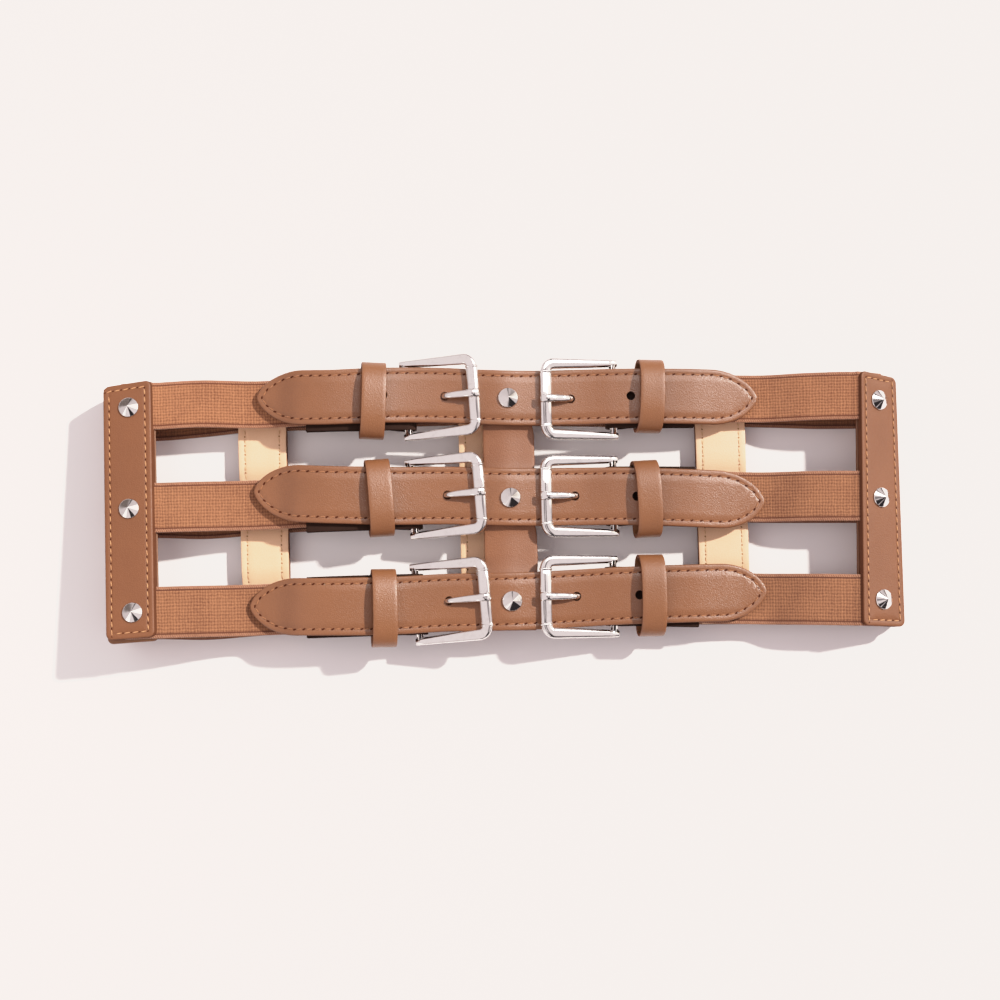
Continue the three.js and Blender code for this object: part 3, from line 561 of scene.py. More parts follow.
class Value:
    """A number that varies over a surface. Sums and products on it add Math nodes."""

    def __init__(self, desk: "NodeDesk", socket: bpy.types.NodeSocket) -> None:
        """Wraps a node's output socket."""
        self.desk = desk
        self.socket = socket

    def _maths(self, operation: str, *inputs: Number) -> "Value":
        """Adds one Math node and gives its result."""
        node = self.desk.node("ShaderNodeMath", {"operation": operation}, dict(enumerate(inputs)))
        return Value(self.desk, node.outputs[0])

    def __add__(self, other: Number) -> "Value":
        """Adds a value or a number."""
        return self._maths("ADD", self, other)

    __radd__ = __add__

    def __sub__(self, other: Number) -> "Value":
        """Takes a value or a number away."""
        return self._maths("SUBTRACT", self, other)

    def __rsub__(self, other: float) -> "Value":
        """Takes this value away from a number."""
        return self._maths("SUBTRACT", other, self)

    def __mul__(self, other: Number) -> "Value":
        """Multiplies by a value or a number."""
        return self._maths("MULTIPLY", self, other)

    __rmul__ = __mul__

    def __abs__(self) -> "Value":
        """Gives the size without its sign."""
        return self._maths("ABSOLUTE", self)

    def sine(self) -> "Value":
        """Gives the sine."""
        return self._maths("SINE", self)

    def least(self, other: Number) -> "Value":
        """Gives the smaller of the two."""
        return self._maths("MINIMUM", self, other)

    def most(self, other: Number) -> "Value":
        """Gives the larger of the two."""
        return self._maths("MAXIMUM", self, other)

    def between(self, low: float, high: float) -> "Value":
        """Eases from 0 to 1 over a range of this value.

        Args:
            low: where it starts to leave 0.
            high: where it reaches 1.

        Returns:
            The eased value.
        """
        settings = {"interpolation_type": "SMOOTHSTEP"}
        inputs = {"Value": self, "From Min": low, "From Max": high}
        node = self.desk.node("ShaderNodeMapRange", settings, inputs)
        return Value(self.desk, node.outputs["Result"])


class NodeDesk:
    """Adds nodes to one material or world."""

    def __init__(self, tree: bpy.types.NodeTree) -> None:
        """Clears the tree and takes it over."""
        self.tree = tree
        tree.nodes.clear()

    def node(self, kind: str, settings: Inputs = None, inputs: Inputs = None) -> bpy.types.Node:
        """Adds a node of any type.

        Args:
            kind: the node's type.
            settings: the node's own options, set first.
            inputs: numbers, colours, values or sockets for its inputs, by name or number.

        Returns:
            The new node.
        """
        made = self.tree.nodes.new(kind)
        for name, value in (settings or {}).items():
            setattr(made, name, value)
        for name, value in (inputs or {}).items():
            socket = made.inputs[name]
            source = value.socket if isinstance(value, Value) else value
            if isinstance(source, bpy.types.NodeSocket):
                self.tree.links.new(source, socket)
            else:
                socket.default_value = source
        return made

    def value(self, kind: str, output: str, settings: Inputs = None, inputs: Inputs = None) -> Value:
        """Adds a node and gives one of its outputs as a value."""
        return Value(self, self.node(kind, settings, inputs).outputs[output])

    def place(self) -> bpy.types.NodeSocket:
        """Gives the surface's own coordinates, in metres."""
        return self.node("ShaderNodeTexCoord").outputs["Object"]

    def cloth_place(self) -> tuple[Value, Value]:
        """Reads a piece's UV map.

        Returns:
            How far along a band and how far across it a point lies, in millimetres.
        """
        uv = self.node("ShaderNodeUVMap", {"uv_map": "UVMap"}).outputs["UV"]
        parts = self.node("ShaderNodeSeparateXYZ", None, {0: uv})
        along = Value(self, parts.outputs["X"]) * UV_SPAN
        across = (Value(self, parts.outputs["Y"]) - 0.5) * UV_SPAN
        return along, across

    def noise(
        self,
        scale: float,
        detail: float = 3.0,
        roughness: float = 0.55,
        stretch: Optional[Sequence[float]] = None,
    ) -> Value:
        """Adds even, seedless noise on the surface's own coordinates.

        Args:
            scale: how many features to a metre.
            detail: how many finer layers it has.
            roughness: how strong the finer layers are.
            stretch: how the coordinates are scaled first, by axis.

        Returns:
            The noise, between 0 and 1.
        """
        vector = self.place()
        if stretch is not None:
            vector = self.node("ShaderNodeMapping", None, {"Vector": vector, "Scale": stretch}).outputs[0]
        inputs = {"Vector": vector, "Scale": scale, "Detail": detail, "Roughness": roughness}
        return self.value("ShaderNodeTexNoise", "Fac", None, inputs)

    def streaks(self, place: Value, pitch: float) -> Value:
        """Adds uneven streaks square to a line.

        Args:
            place: how far along the line a point lies.
            pitch: about how far apart the streaks are.

        Returns:
            The streaks, between 0 and 1.
        """
        vector = self.node("ShaderNodeCombineXYZ", None, {0: place * (1 / pitch)}).outputs[0]
        inputs = {"Vector": vector, "Scale": 1.0, "Detail": 3.0}
        return self.value("ShaderNodeTexNoise", "Fac", None, inputs).between(0.3, 0.7)

    def cells(self, scale: float) -> Value:
        """Adds a cell pattern on the surface's own coordinates: the distance to each cell's middle."""
        inputs = {"Vector": self.place(), "Scale": scale}
        return self.value("ShaderNodeTexVoronoi", "Distance", None, inputs)

    def mix(self, share: Number, low: object, high: object) -> bpy.types.NodeSocket:
        """Mixes two colours by a share."""
        inputs = {0: share, 6: low, 7: high}
        return self.node("ShaderNodeMix", {"data_type": "RGBA"}, inputs).outputs[2]

    def bump(self, height: Value, depth_mm: float, strength: float = 1.0) -> bpy.types.NodeSocket:
        """Turns a height pattern of the given depth into a normal."""
        inputs = {"Height": height, "Strength": strength, "Distance": depth_mm * MM}
        return self.node("ShaderNodeBump", None, inputs).outputs["Normal"]

    def surface(self, inputs: dict) -> None:
        """Adds the surface shader with its inputs and joins it to the output."""
        shader = self.node("ShaderNodeBsdfPrincipled", None, inputs)
        self.node("ShaderNodeOutputMaterial", None, {"Surface": shader.outputs[0]})


Colour = tuple[float, float, float, float]


def colour(red: float, green: float, blue: float) -> Colour:
    """Gives a linear colour from one as a screen shows it.

    Args:
        red: the red channel, 0 to 255.
        green: the green channel.
        blue: the blue channel.

    Returns:
        The linear colour, opaque.
    """
    linear = []
    for channel in (red, green, blue):
        share = channel / 255
        linear.append(share / 12.92 if share <= 0.04045 else ((share + 0.055) / 1.055) ** 2.4)
    return (*linear, 1.0)


@dataclass(frozen=True)
class Finish:
    """What every finish has: a name, the record's slot and one material."""

    name: str
    slot: str

    def dress(self, desk: NodeDesk) -> None:
        """Adds the finish's nodes."""
        raise NotImplementedError

    @cached_property
    def material(self) -> bpy.types.Material:
        """Makes the finish's material, once.

        Returns:
            The material.
        """
        made = bpy.data.materials.new(self.name)
        made.use_nodes = True
        self.dress(NodeDesk(made.node_tree))
        return made


@dataclass(frozen=True)
class Leather(Finish):
    """Finished leather with a pebbled grain, faint clouding and a soft sheen."""

    tone: Colour
    shade: Colour
    roughness: float = 0.36
    grain: float = 0.055
    clouding: float = 0.35
    shine: float = 0.5

    def dress(self, desk: NodeDesk) -> None:
        """Adds the leather's nodes.

        Args:
            desk: where the nodes go.
        """
        clouds = desk.noise(45.0, 4.0).between(0.3, 0.7)
        pebbles = desk.cells(1900.0).between(0.1, 0.75)
        mottle = desk.noise(1500.0, 3.0, 0.65).between(0.3, 0.7)
        fine = desk.noise(3600.0, 2.0)
        height = (1 - pebbles) * 0.45 + mottle * 0.3 + fine * 0.25
        worn = clouds * self.clouding + (1 - height) * 0.5
        desk.surface(
            {
                "Base Color": desk.mix(worn, self.tone, self.shade),
                "Roughness": (self.roughness - 0.05) + mottle * 0.1 + clouds * 0.03,
                "Specular IOR Level": self.shine,
                "Normal": desk.bump(height, self.grain),
            }
        )


@dataclass(frozen=True)
class Elastic(Finish):
    """Woven elastic: fine ribs crossed by the weft, with a corded edge inside a groove painted dark as
    shade.
    """

    tone: Colour
    shade: Colour
    cord: Colour = colour(172, 128, 106)
    half_width: float = 10.0
    rib: float = 1.27
    weft: float = 1.26
    twist: float = 1.5

    def dress(self, desk: NodeDesk) -> None:
        """Adds the weave's nodes.

        Args:
            desk: where the nodes go.
        """
        along, across = desk.cloth_place()
        wander = desk.noise(320.0, 3.0) - 0.5
        warp = ((across + wander * 0.9) * (2 * math.pi / self.rib)).sine()
        weft = ((along + wander * 1.3) * (2 * math.pi / self.weft)).sine()
        columns = desk.streaks(along, 1.3)
        rows = desk.streaks(across, 1.6)
        knots = desk.noise(900.0, 2.0).between(0.3, 0.7)
        body = (warp * (0.36 + rows * knots * 0.3) + weft * (0.24 + columns * 0.3)) * 0.5 + 0.5
        edge = abs(across)
        groove = 1 - abs(edge - (self.half_width - 1.5)).between(0.1, 0.42)
        cord = edge.between(self.half_width - 1.3, self.half_width - 1.1)
        twist = ((along * 1.6 + across * 0.9) * (2 * math.pi / self.twist)).sine() * 0.4 + 0.7
        weave = body * (1 - cord) + twist * cord
        fuzz = desk.noise(1500.0, 3.0, 0.6)
        slow = desk.noise(70.0, 3.0).between(0.3, 0.7)
        # The groove term paints shade into the groove along each edge.
        dark = (1 - weave) * 0.6 + groove * 0.7 + (1 - fuzz) * 0.8
        dark = dark + slow * 0.12 + (1 - columns) * 0.12 - 0.26
        yarn = desk.mix(cord * 0.45, self.tone, self.cord)
        height = weave * (1 - groove) + fuzz * 0.25
        desk.surface(
            {
                "Base Color": desk.mix(dark.least(1.0).most(0.0), yarn, self.shade),
                "Roughness": 0.78 + fuzz * 0.15,
                "Specular IOR Level": 0.3,
                "Sheen Weight": 0.25,
                "Sheen Roughness": 0.5,
                "Normal": desk.bump(height, 0.2, 0.9),
            }
        )


@dataclass(frozen=True)
class Plating(Finish):
    """Polished plating over cast metal, with faint casting waves and hairlines."""

    tone: Colour
    roughness: float = 0.05

    def dress(self, desk: NodeDesk) -> None:
        """Adds the plating's nodes.

        Args:
            desk: where the nodes go.
        """
        waves = desk.noise(160.0, 2.0)
        hairlines = desk.noise(900.0, 2.0, stretch=(1.0, 0.15, 1.0))
        smears = desk.noise(420.0, 4.0).between(0.45, 0.8)
        desk.surface(
            {
                "Base Color": desk.mix(smears * 0.25, self.tone, colour(196, 188, 184)),
                "Metallic": 1.0,
                "Roughness": self.roughness + smears * 0.04 + hairlines * 0.02,
                "Normal": desk.bump(waves * 0.8 + hairlines * 0.02, 0.16, 0.5),
            }
        )


@dataclass(frozen=True)
class Thread(Finish):
    """Twisted sewing thread."""

    tone: Colour
    shade: Colour

    def dress(self, desk: NodeDesk) -> None:
        """Adds the thread's nodes.

        Args:
            desk: where the nodes go.
        """
        strands = desk.noise(3200.0, 2.0, stretch=(1.0, 0.5, 1.0))
        desk.surface(
            {
                "Base Color": desk.mix(strands.between(0.35, 0.7), self.tone, self.shade),
                "Roughness": 0.7 + strands * 0.15,
                "Sheen Weight": 0.2,
                "Normal": desk.bump(strands, 0.05, 0.6),
            }
        )


@dataclass(frozen=True)
class FloorPaper(Finish):
    """The plain pale floor, very slightly uneven in tone."""

    tone: Colour
    shade: Colour

    def dress(self, desk: NodeDesk) -> None:
        """Adds the floor's nodes.

        Args:
            desk: where the nodes go.
        """
        slow = desk.noise(3.0, 2.0)
        fibres = desk.noise(1500.0, 3.0)
        desk.surface(
            {
                "Base Color": desk.mix(slow * 0.5 + fibres * 0.1, self.tone, self.shade),
                "Roughness": 0.85 + fibres * 0.1,
                "Specular IOR Level": 0.15,
            }
        )


STRAP_LEATHER = Leather(
    "strap_leather", "brown_leather", colour(127, 82, 53), colour(111, 70, 43), roughness=0.32, grain=0.075
)
STRAP_EDGE = Leather(
    "strap_edge", "brown_leather", colour(109, 67, 46), colour(86, 51, 34),
    roughness=0.75, grain=0.03, shine=0.2,
)
TAB_LEATHER = Leather(
    "tab_leather", "brown_leather", colour(118, 74, 47), colour(103, 63, 39),
    roughness=0.5, grain=0.07, shine=0.28,
)
# Darker than the strap's edges: partly the tab's edge paint, partly painted shade on its walls.
TAB_EDGE_PAINT_AND_SHADE = Leather(
    "tab_edge_paint_and_shade", "brown_leather", colour(98, 58, 36), colour(74, 42, 26),
    roughness=0.8, grain=0.03, shine=0.15,
)
KEEPER_LEATHER = Leather(
    "keeper_leather", "brown_leather", colour(129, 84, 53), colour(113, 71, 43), grain=0.08
)
STRIP_LEATHER = Leather(
    "strip_leather", "brown_leather", colour(131, 84, 54), colour(111, 68, 43),
    roughness=0.5, grain=0.075, shine=0.4,
)
CHAPE_LEATHER = Leather(
    "chape_leather", "dark_leather", colour(46, 28, 20), colour(32, 19, 13),
    roughness=0.8, grain=0.05, shine=0.12,
)
CUT_LEATHER = Leather(
    "cut_leather", "dark_leather", colour(78, 43, 30), colour(55, 29, 19), roughness=0.85, grain=0.08
)
CREAM_LINING = Leather(
    "cream_lining", "cream_lining", colour(229, 188, 152), colour(217, 172, 133), roughness=0.6, grain=0.04,
    clouding=0.3,
)
LINING_EDGE = Leather(
    "lining_edge", "cream_lining", colour(134, 98, 62), colour(98, 67, 42), roughness=0.7, grain=0.03
)
# Painted shade: the needle holes are flat dark discs, darker than the leather as the shade inside a hole
# would be.
LINING_PRICK_SHADE = Leather(
    "lining_hole_shade", "cream_lining", colour(150, 112, 74), colour(120, 86, 54),
    roughness=0.9, grain=0.02, shine=0.1,
)
PRICK_SHADE = Leather(
    "prick_shade", "brown_leather", colour(76, 36, 21), colour(54, 24, 13), roughness=0.9, grain=0.02, shine=0.1
)
# The tab lining is painted brown, not cream: partly its brown edge finish, partly painted shade on its ledge
# and foot.
SHADED_TAB_BACK = Leather("shaded_tab_back", "cream_lining", colour(134, 93, 64), colour(114, 75, 50), roughness=0.6)
# Painted shade: the front elastics are one elastic, painted a little darker row by row towards the bottom.
ROW_SHADED_FRONT_ELASTICS = {
    1: Elastic("top_elastic", "brown_elastic", colour(178, 122, 83), colour(92, 48, 27)),
    2: Elastic("middle_elastic", "brown_elastic", colour(170, 117, 80), colour(88, 46, 26)),
    3: Elastic("bottom_elastic", "brown_elastic", colour(165, 113, 77), colour(84, 44, 25)),
}
# Painted shade: the back elastics are the front ones' elastic, painted darker because the loop's inside lies
# in shade.
SHADED_BACK_ELASTIC = Elastic("back_elastic", "brown_elastic", colour(142, 96, 64), colour(70, 36, 20))
PLATING = Plating("polished_plating", "polished_metal", colour(236, 232, 230))
ORANGE_THREAD = Thread("orange_thread", "brown_leather", colour(156, 102, 62), colour(134, 84, 50))
LIGHT_THREAD = Thread("light_thread", "brown_leather", colour(190, 137, 90), colour(163, 110, 69))
TAN_THREAD = Thread("tan_thread", "cream_lining", colour(206, 168, 124), colour(184, 144, 102))


# Workshop


Mapping = Callable[[Vector], Vector]


@dataclass
class Workshop:
    """Turns flat or straight work into finished pieces on the belt."""

    strip_middle: tuple[float, float] = (-8.8, -2.4)
    made: list[bpy.types.Object] = field(default_factory=list)

    @cached_property
    def shift(self) -> Vector:
        """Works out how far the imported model's origin is from the belt's own, read off a strip.

        Returns:
            The shift, in plan.
        """
        low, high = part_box("back_strip_centre")
        x, y = self.strip_middle
        return Vector(((low.x + high.x) / 2 / MM - x, (low.y + high.y) / 2 / MM - y, 0.0))

    def piece(
        self,
        bm: bmesh.types.BMesh,
        name: str,
        finishes: Sequence[Finish],
        nodes: Sequence[str] = (),
        mapping: Optional[Mapping] = None,
        thickness: float = 0.0,
        rounding: float = 0.0,
    ) -> None:
        """Places a mesh on the belt and makes it an object.

        Args:
            bm: the mesh, in millimetres; it is freed.
            name: the object's name.
            finishes: one finish for each material number on the faces.
            nodes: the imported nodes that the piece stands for.
            mapping: where each point of the mesh goes on the belt.
            thickness: a wall thickness to give to a sheet.
            rounding: how far sharp edges are rounded.
        """
        for vert in bm.verts:
            point = mapping(vert.co) if mapping else vert.co
            vert.co = (point + self.shift) * MM
        mesh = bpy.data.meshes.new(name)
        bm.to_mesh(mesh)
        bm.free()
        for polygon in mesh.polygons:
            polygon.use_smooth = True
        for finish in finishes:
            mesh.materials.append(finish.material)
        made = bpy.data.objects.new(name, mesh)
        bpy.context.scene.collection.objects.link(made)
        if thickness:
            wall = made.modifiers.new("wall", "SOLIDIFY")
            wall.thickness = thickness * MM
            wall.offset = 0.0
            wall.use_even_offset = True
            if len(finishes) > 1:
                wall.material_offset_rim = 1
        if rounding:
            bevel = made.modifiers.new("rounding", "BEVEL")
            bevel.width = rounding * MM
            bevel.segments = 2
            bevel.limit_method = "ANGLE"
            bevel.angle_limit = math.radians(50)
        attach(made, "root")
        if nodes:
            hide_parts(*nodes)
        self.made.append(made)
        log.info("%s: %d faces for %s", name, len(mesh.polygons), ", ".join(nodes) or "detail")


SHOP = Workshop()


def set_uv(bm: bmesh.types.BMesh, where: Callable[[bmesh.types.BMVert], tuple[float, float]]) -> None:
    """Writes how far along and across a band each corner lies.

    Args:
        bm: the mesh, still flat.
        where: gives a vertex's place along and across, in millimetres.
    """
    layer = bm.loops.layers.uv.new("UVMap")
    places = {vert: where(vert) for vert in bm.verts}
    for face in bm.faces:
        for loop in face.loops:
            along, across = places[loop.vert]
            loop[layer].uv = (along / UV_SPAN + 0.5, across / UV_SPAN + 0.5)


@dataclass
class Slab:
    """Flat leather cut to an outline, with rounded edges and a pressed line for the seam.

    The outline is a function that draws the closed edge a set distance inside itself, always
    with the same number of points. The cuts let the leather bend.
    """

    outline: Callable[[float], list[tuple[float, float]]]
    thick: float
    edge_radius: float = 0.5
    seam_inset: float = 0.0
    seam_depth: float = 0.14
    seam_half: float = 0.6
    crown: float = 0.0
    step: float = 2.0
    across_cuts: tuple[float, ...] = (0.0,)
    edge_rings: range = range(1, 5)

    def _section(self) -> list[tuple[float, float]]:
        """Works out the edge's section.

        Returns:
            Insets and heights, from the lower face to the upper one.
        """
        r = self.edge_radius
        turn = [math.radians(angle) for angle in (0, 30, 60, 90)]
        lower = [(r - r * math.sin(a), r - r * math.cos(a) - self.thick) for a in turn]
        upper = [(r - r * math.sin(a), r * math.cos(a) - r) for a in reversed(turn)]
        section = lower + upper
        if self.seam_inset:
            s, half, deep = self.seam_inset, self.seam_half, -self.seam_depth
            section += [(s - half, 0.0), (s - half / 3, deep), (s + half / 3, deep)]
            section += [(s + half, self.crown * 0.4), (s + half + 2.5, self.crown)]
        return section

    def build(self) -> bmesh.types.BMesh:
        """Makes the slab flat, its top face at zero height.

        Returns:
            The mesh, with edges in the second material and a UV map of its flat place.
        """
        bm = bmesh.new()
        section = self._section()
        verts = [bm.verts.new((x, y, section[0][1])) for x, y in self.outline(section[0][0])]
        ring = [bm.edges.new(pair) for pair in zip(verts, verts[1:] + verts[:1])]
        bmesh.ops.holes_fill(bm, edges=ring, sides=0)
        for k, (inset, height) in enumerate(section[1:]):
            grown = bmesh.ops.extrude_edge_only(bm, edges=ring)["geom"]
            ring = [item for item in grown if isinstance(item, bmesh.types.BMEdge)]
            fresh = {item for item in grown if isinstance(item, bmesh.types.BMVert)}
            verts = [next(e.other_vert(v) for e in v.link_edges if e.other_vert(v) in fresh) for v in verts]
            for vert, (x, y) in zip(verts, self.outline(inset)):
                vert.co = Vector((x, y, height))
            for face in {face for edge in ring for face in edge.link_faces}:
                face.material_index = 1 if k in self.edge_rings else 0
        for face in bmesh.ops.holes_fill(bm, edges=ring, sides=0)["faces"]:
            face.material_index = 0
        bmesh.ops.remove_doubles(bm, verts=bm.verts[:], dist=1e-3)
        bmesh.ops.recalc_face_normals(bm, faces=bm.faces[:])
        self._cut(bm)
        set_uv(bm, lambda vert: (vert.co.x, vert.co.y))
        return bm

    def _cut(self, bm: bmesh.types.BMesh) -> None:
        """Cuts the slab across and along, so that it can bend.

        Args:
            bm: the slab's mesh.
        """
        xs = [x for x, _ in self.outline(0.0)]
        ys = [y for _, y in self.outline(0.0)]
        for x in spread(min(xs), max(xs), self.step)[1:-1]:
            self._plane(bm, (x, 0.0, 0.0), (1.0, 0.0, 0.0))
        for y in self.across_cuts:
            if min(ys) < y < max(ys):
                self._plane(bm, (0.0, y, 0.0), (0.0, 1.0, 0.0))

    @staticmethod
    def _plane(bm: bmesh.types.BMesh, point: Sequence[float], normal: Sequence[float]) -> None:
        """Cuts every face that crosses a plane."""
        geometry = bm.verts[:] + bm.edges[:] + bm.faces[:]
        bmesh.ops.bisect_plane(bm, geom=geometry, dist=1e-5, plane_co=point, plane_no=normal)


@dataclass
class Ribbon:
    """A band that follows a line, which is the middle of its thickness."""

    line: Sequence[tuple[float, float]]
    width: float
    columns: int = 6
    closed: bool = False

    def build(self) -> bmesh.types.BMesh:
        """Makes the band's middle sheet.

        Returns:
            The sheet with the line's two values as x and z, the place across as y, and its UV map.
        """
        points = list(self.line)
        lengths = [0.0]
        for before, after in zip(points, points[1:]):
            lengths.append(lengths[-1] + math.dist(before, after))
        rows = len(points) - 1
        bm = bmesh.new()
        bmesh.ops.create_grid(bm, x_segments=rows, y_segments=self.columns, size=1.0)
        index = {vert: round((vert.co.x + 1) / 2 * rows) for vert in bm.verts}
        for vert, i in index.items():
            vert.co = Vector((points[i][0], vert.co.y * self.width / 2, points[i][1]))
        widths = SIZES.elastic_width / self.width
        set_uv(bm, lambda vert: (lengths[index[vert]] - lengths[-1] / 2, vert.co.y * widths))
        if self.closed:
            bmesh.ops.remove_doubles(bm, verts=bm.verts[:], dist=1e-4)
        bmesh.ops.recalc_face_normals(bm, faces=bm.faces[:])
        return bm


def walk(
    line: Sequence[tuple[float, float]], pitch: float, closed: bool
) -> list[tuple[float, float, float]]:
    """Steps along a line at an even pitch.

    Args:
        line: the line's points.
        pitch: the wanted spacing.
        closed: whether the line ends where it starts.

    Returns:
        For each step its x, its y and the line's direction there.
    """
    points = list(line) + ([line[0]] if closed else [])
    lengths = [0.0]
    for before, after in zip(points, points[1:]):
        lengths.append(lengths[-1] + math.dist(before, after))
    count = max(1, round(lengths[-1] / pitch))
    steps = []
    i = 0
    for k in range(count):
        reach = (k + 0.5) * lengths[-1] / count
        while lengths[i + 1] < reach:
            i += 1
        share = (reach - lengths[i]) / (lengths[i + 1] - lengths[i])
        a, b = points[i], points[i + 1]
        angle = math.atan2(b[1] - a[1], b[0] - a[0])
        steps.append((a[0] + (b[0] - a[0]) * share, a[1] + (b[1] - a[1]) * share, angle))
    return steps


@dataclass
class Seam:
    """A row of stitches: a short thread between two needle holes, again and again.

    The slants are in radians, and a hole is given by half its length and half its width.
    """

    line: Sequence[tuple[float, float]]
    pitch: float
    closed: bool = False
    height: float = -0.12
    slant: float = 0.12
    hole_slant: float = 0.45
    thread_length: float = 2.7
    thread_width: float = 0.5
    hole: tuple[float, float] = (0.74, 0.37)
    downwards: bool = False
    thread_lift: float = 0.1
    thread_half: float = 0.2
    hole_lift: float = 0.16

    def build(self) -> bmesh.types.BMesh:
        """Sews the seam flat.

        Returns:
            The mesh, with threads in the first material and needle holes, as flat discs of painted shade, in
            the second.
        """
        bm = bmesh.new()
        facing = -1 if self.downwards else 1
        for x, y, angle in walk(self.line, self.pitch, self.closed):
            turn = Matrix.Rotation(angle + self.slant, 4, "Z")
            hole_turn = Matrix.Rotation(angle + self.hole_slant, 4, "Z")
            spot = Matrix.Translation((x, y, self.height + facing * self.thread_lift)) @ turn
            shape = Matrix.Diagonal((self.thread_length / 2, self.thread_width / 2, self.thread_half, 1.0))
            bmesh.ops.create_uvsphere(bm, u_segments=8, v_segments=5, radius=1.0, matrix=spot @ shape)
            ahead = Vector((math.cos(angle), math.sin(angle), 0.0)) * self.pitch / 2
            # Each needle hole is a flat dark disc: painted shade in place of a real hole.
            hole_at = Matrix.Translation(Vector((x, y, self.height + facing * self.hole_lift)) + ahead)
            shape = Matrix.Diagonal((*self.hole, 1.0, 1.0))
            ring = bmesh.ops.create_circle(
                bm, cap_ends=True, segments=10, radius=1.0, matrix=hole_at @ hole_turn @ shape
            )
            for face in {face for vert in ring["verts"] for face in vert.link_faces}:
                face.material_index = 1
                if face.normal.z * facing < 0:
                    face.normal_flip()
        return bm


# Front rows


def elastic_height(side: Side) -> SmoothLine:
    """Gives the height of the middle of a side's front elastics."""
    held = tuple((x, STRAP_HEIGHT.at(x) - SIZES.stack_drop) for x in HELD_PLACES[side])
    return SmoothLine(FREE_ELASTIC[side] + held if side is Side.LEFT else held + FREE_ELASTIC[side])


@dataclass(frozen=True)
class BuckleStand:
    """Where a buckle's heel bar is, and how the buckle is turned and tilted."""

    heel: Vector
    tilt: float
    yaw: float

    @classmethod
    def of(cls, spot: BuckleSpot, side: Side) -> "BuckleStand":
        """Works out how a buckle stands.

        Args:
            spot: where it lies on the strap.
            side: its side of the belt.

        Returns:
            The stand, tilted so that its front bar rests on the strap.
        """
        inward = -side.sign
        foreshortening = 0.965
        heel_z = STRAP_HEIGHT.at(spot.heel_x) - SIZES.bar_drop
        front_x = spot.heel_x + inward * SIZES.frame_reach * foreshortening
        lift = SIZES.strap_thick / 2 + SIZES.slack + SIZES.front_bar_rise
        front_z = STRAP_HEIGHT.at(front_x) + lift
        tilt = math.asin((front_z - heel_z) / SIZES.frame_reach)
        turn = math.radians(spot.yaw) + (0.0 if inward > 0 else math.pi)
        return cls(Vector((spot.heel_x, spot.heel_y, heel_z)), tilt, turn)

    def place(self, point: Vector) -> Vector:
        """Puts a point of a buckle built level, its heel bar at the origin, onto the belt."""
        turn = Matrix.Rotation(self.yaw, 3, "Z") @ Matrix.Rotation(-self.tilt, 3, "Y")
        return turn @ point + self.heel

    def above(self, along: float) -> tuple[float, float]:
        """Gives where a point along the buckle stands in plan."""
        reach = along * math.cos(self.tilt)
        return (self.heel.x + reach * math.cos(self.yaw), self.heel.y + reach * math.sin(self.yaw))


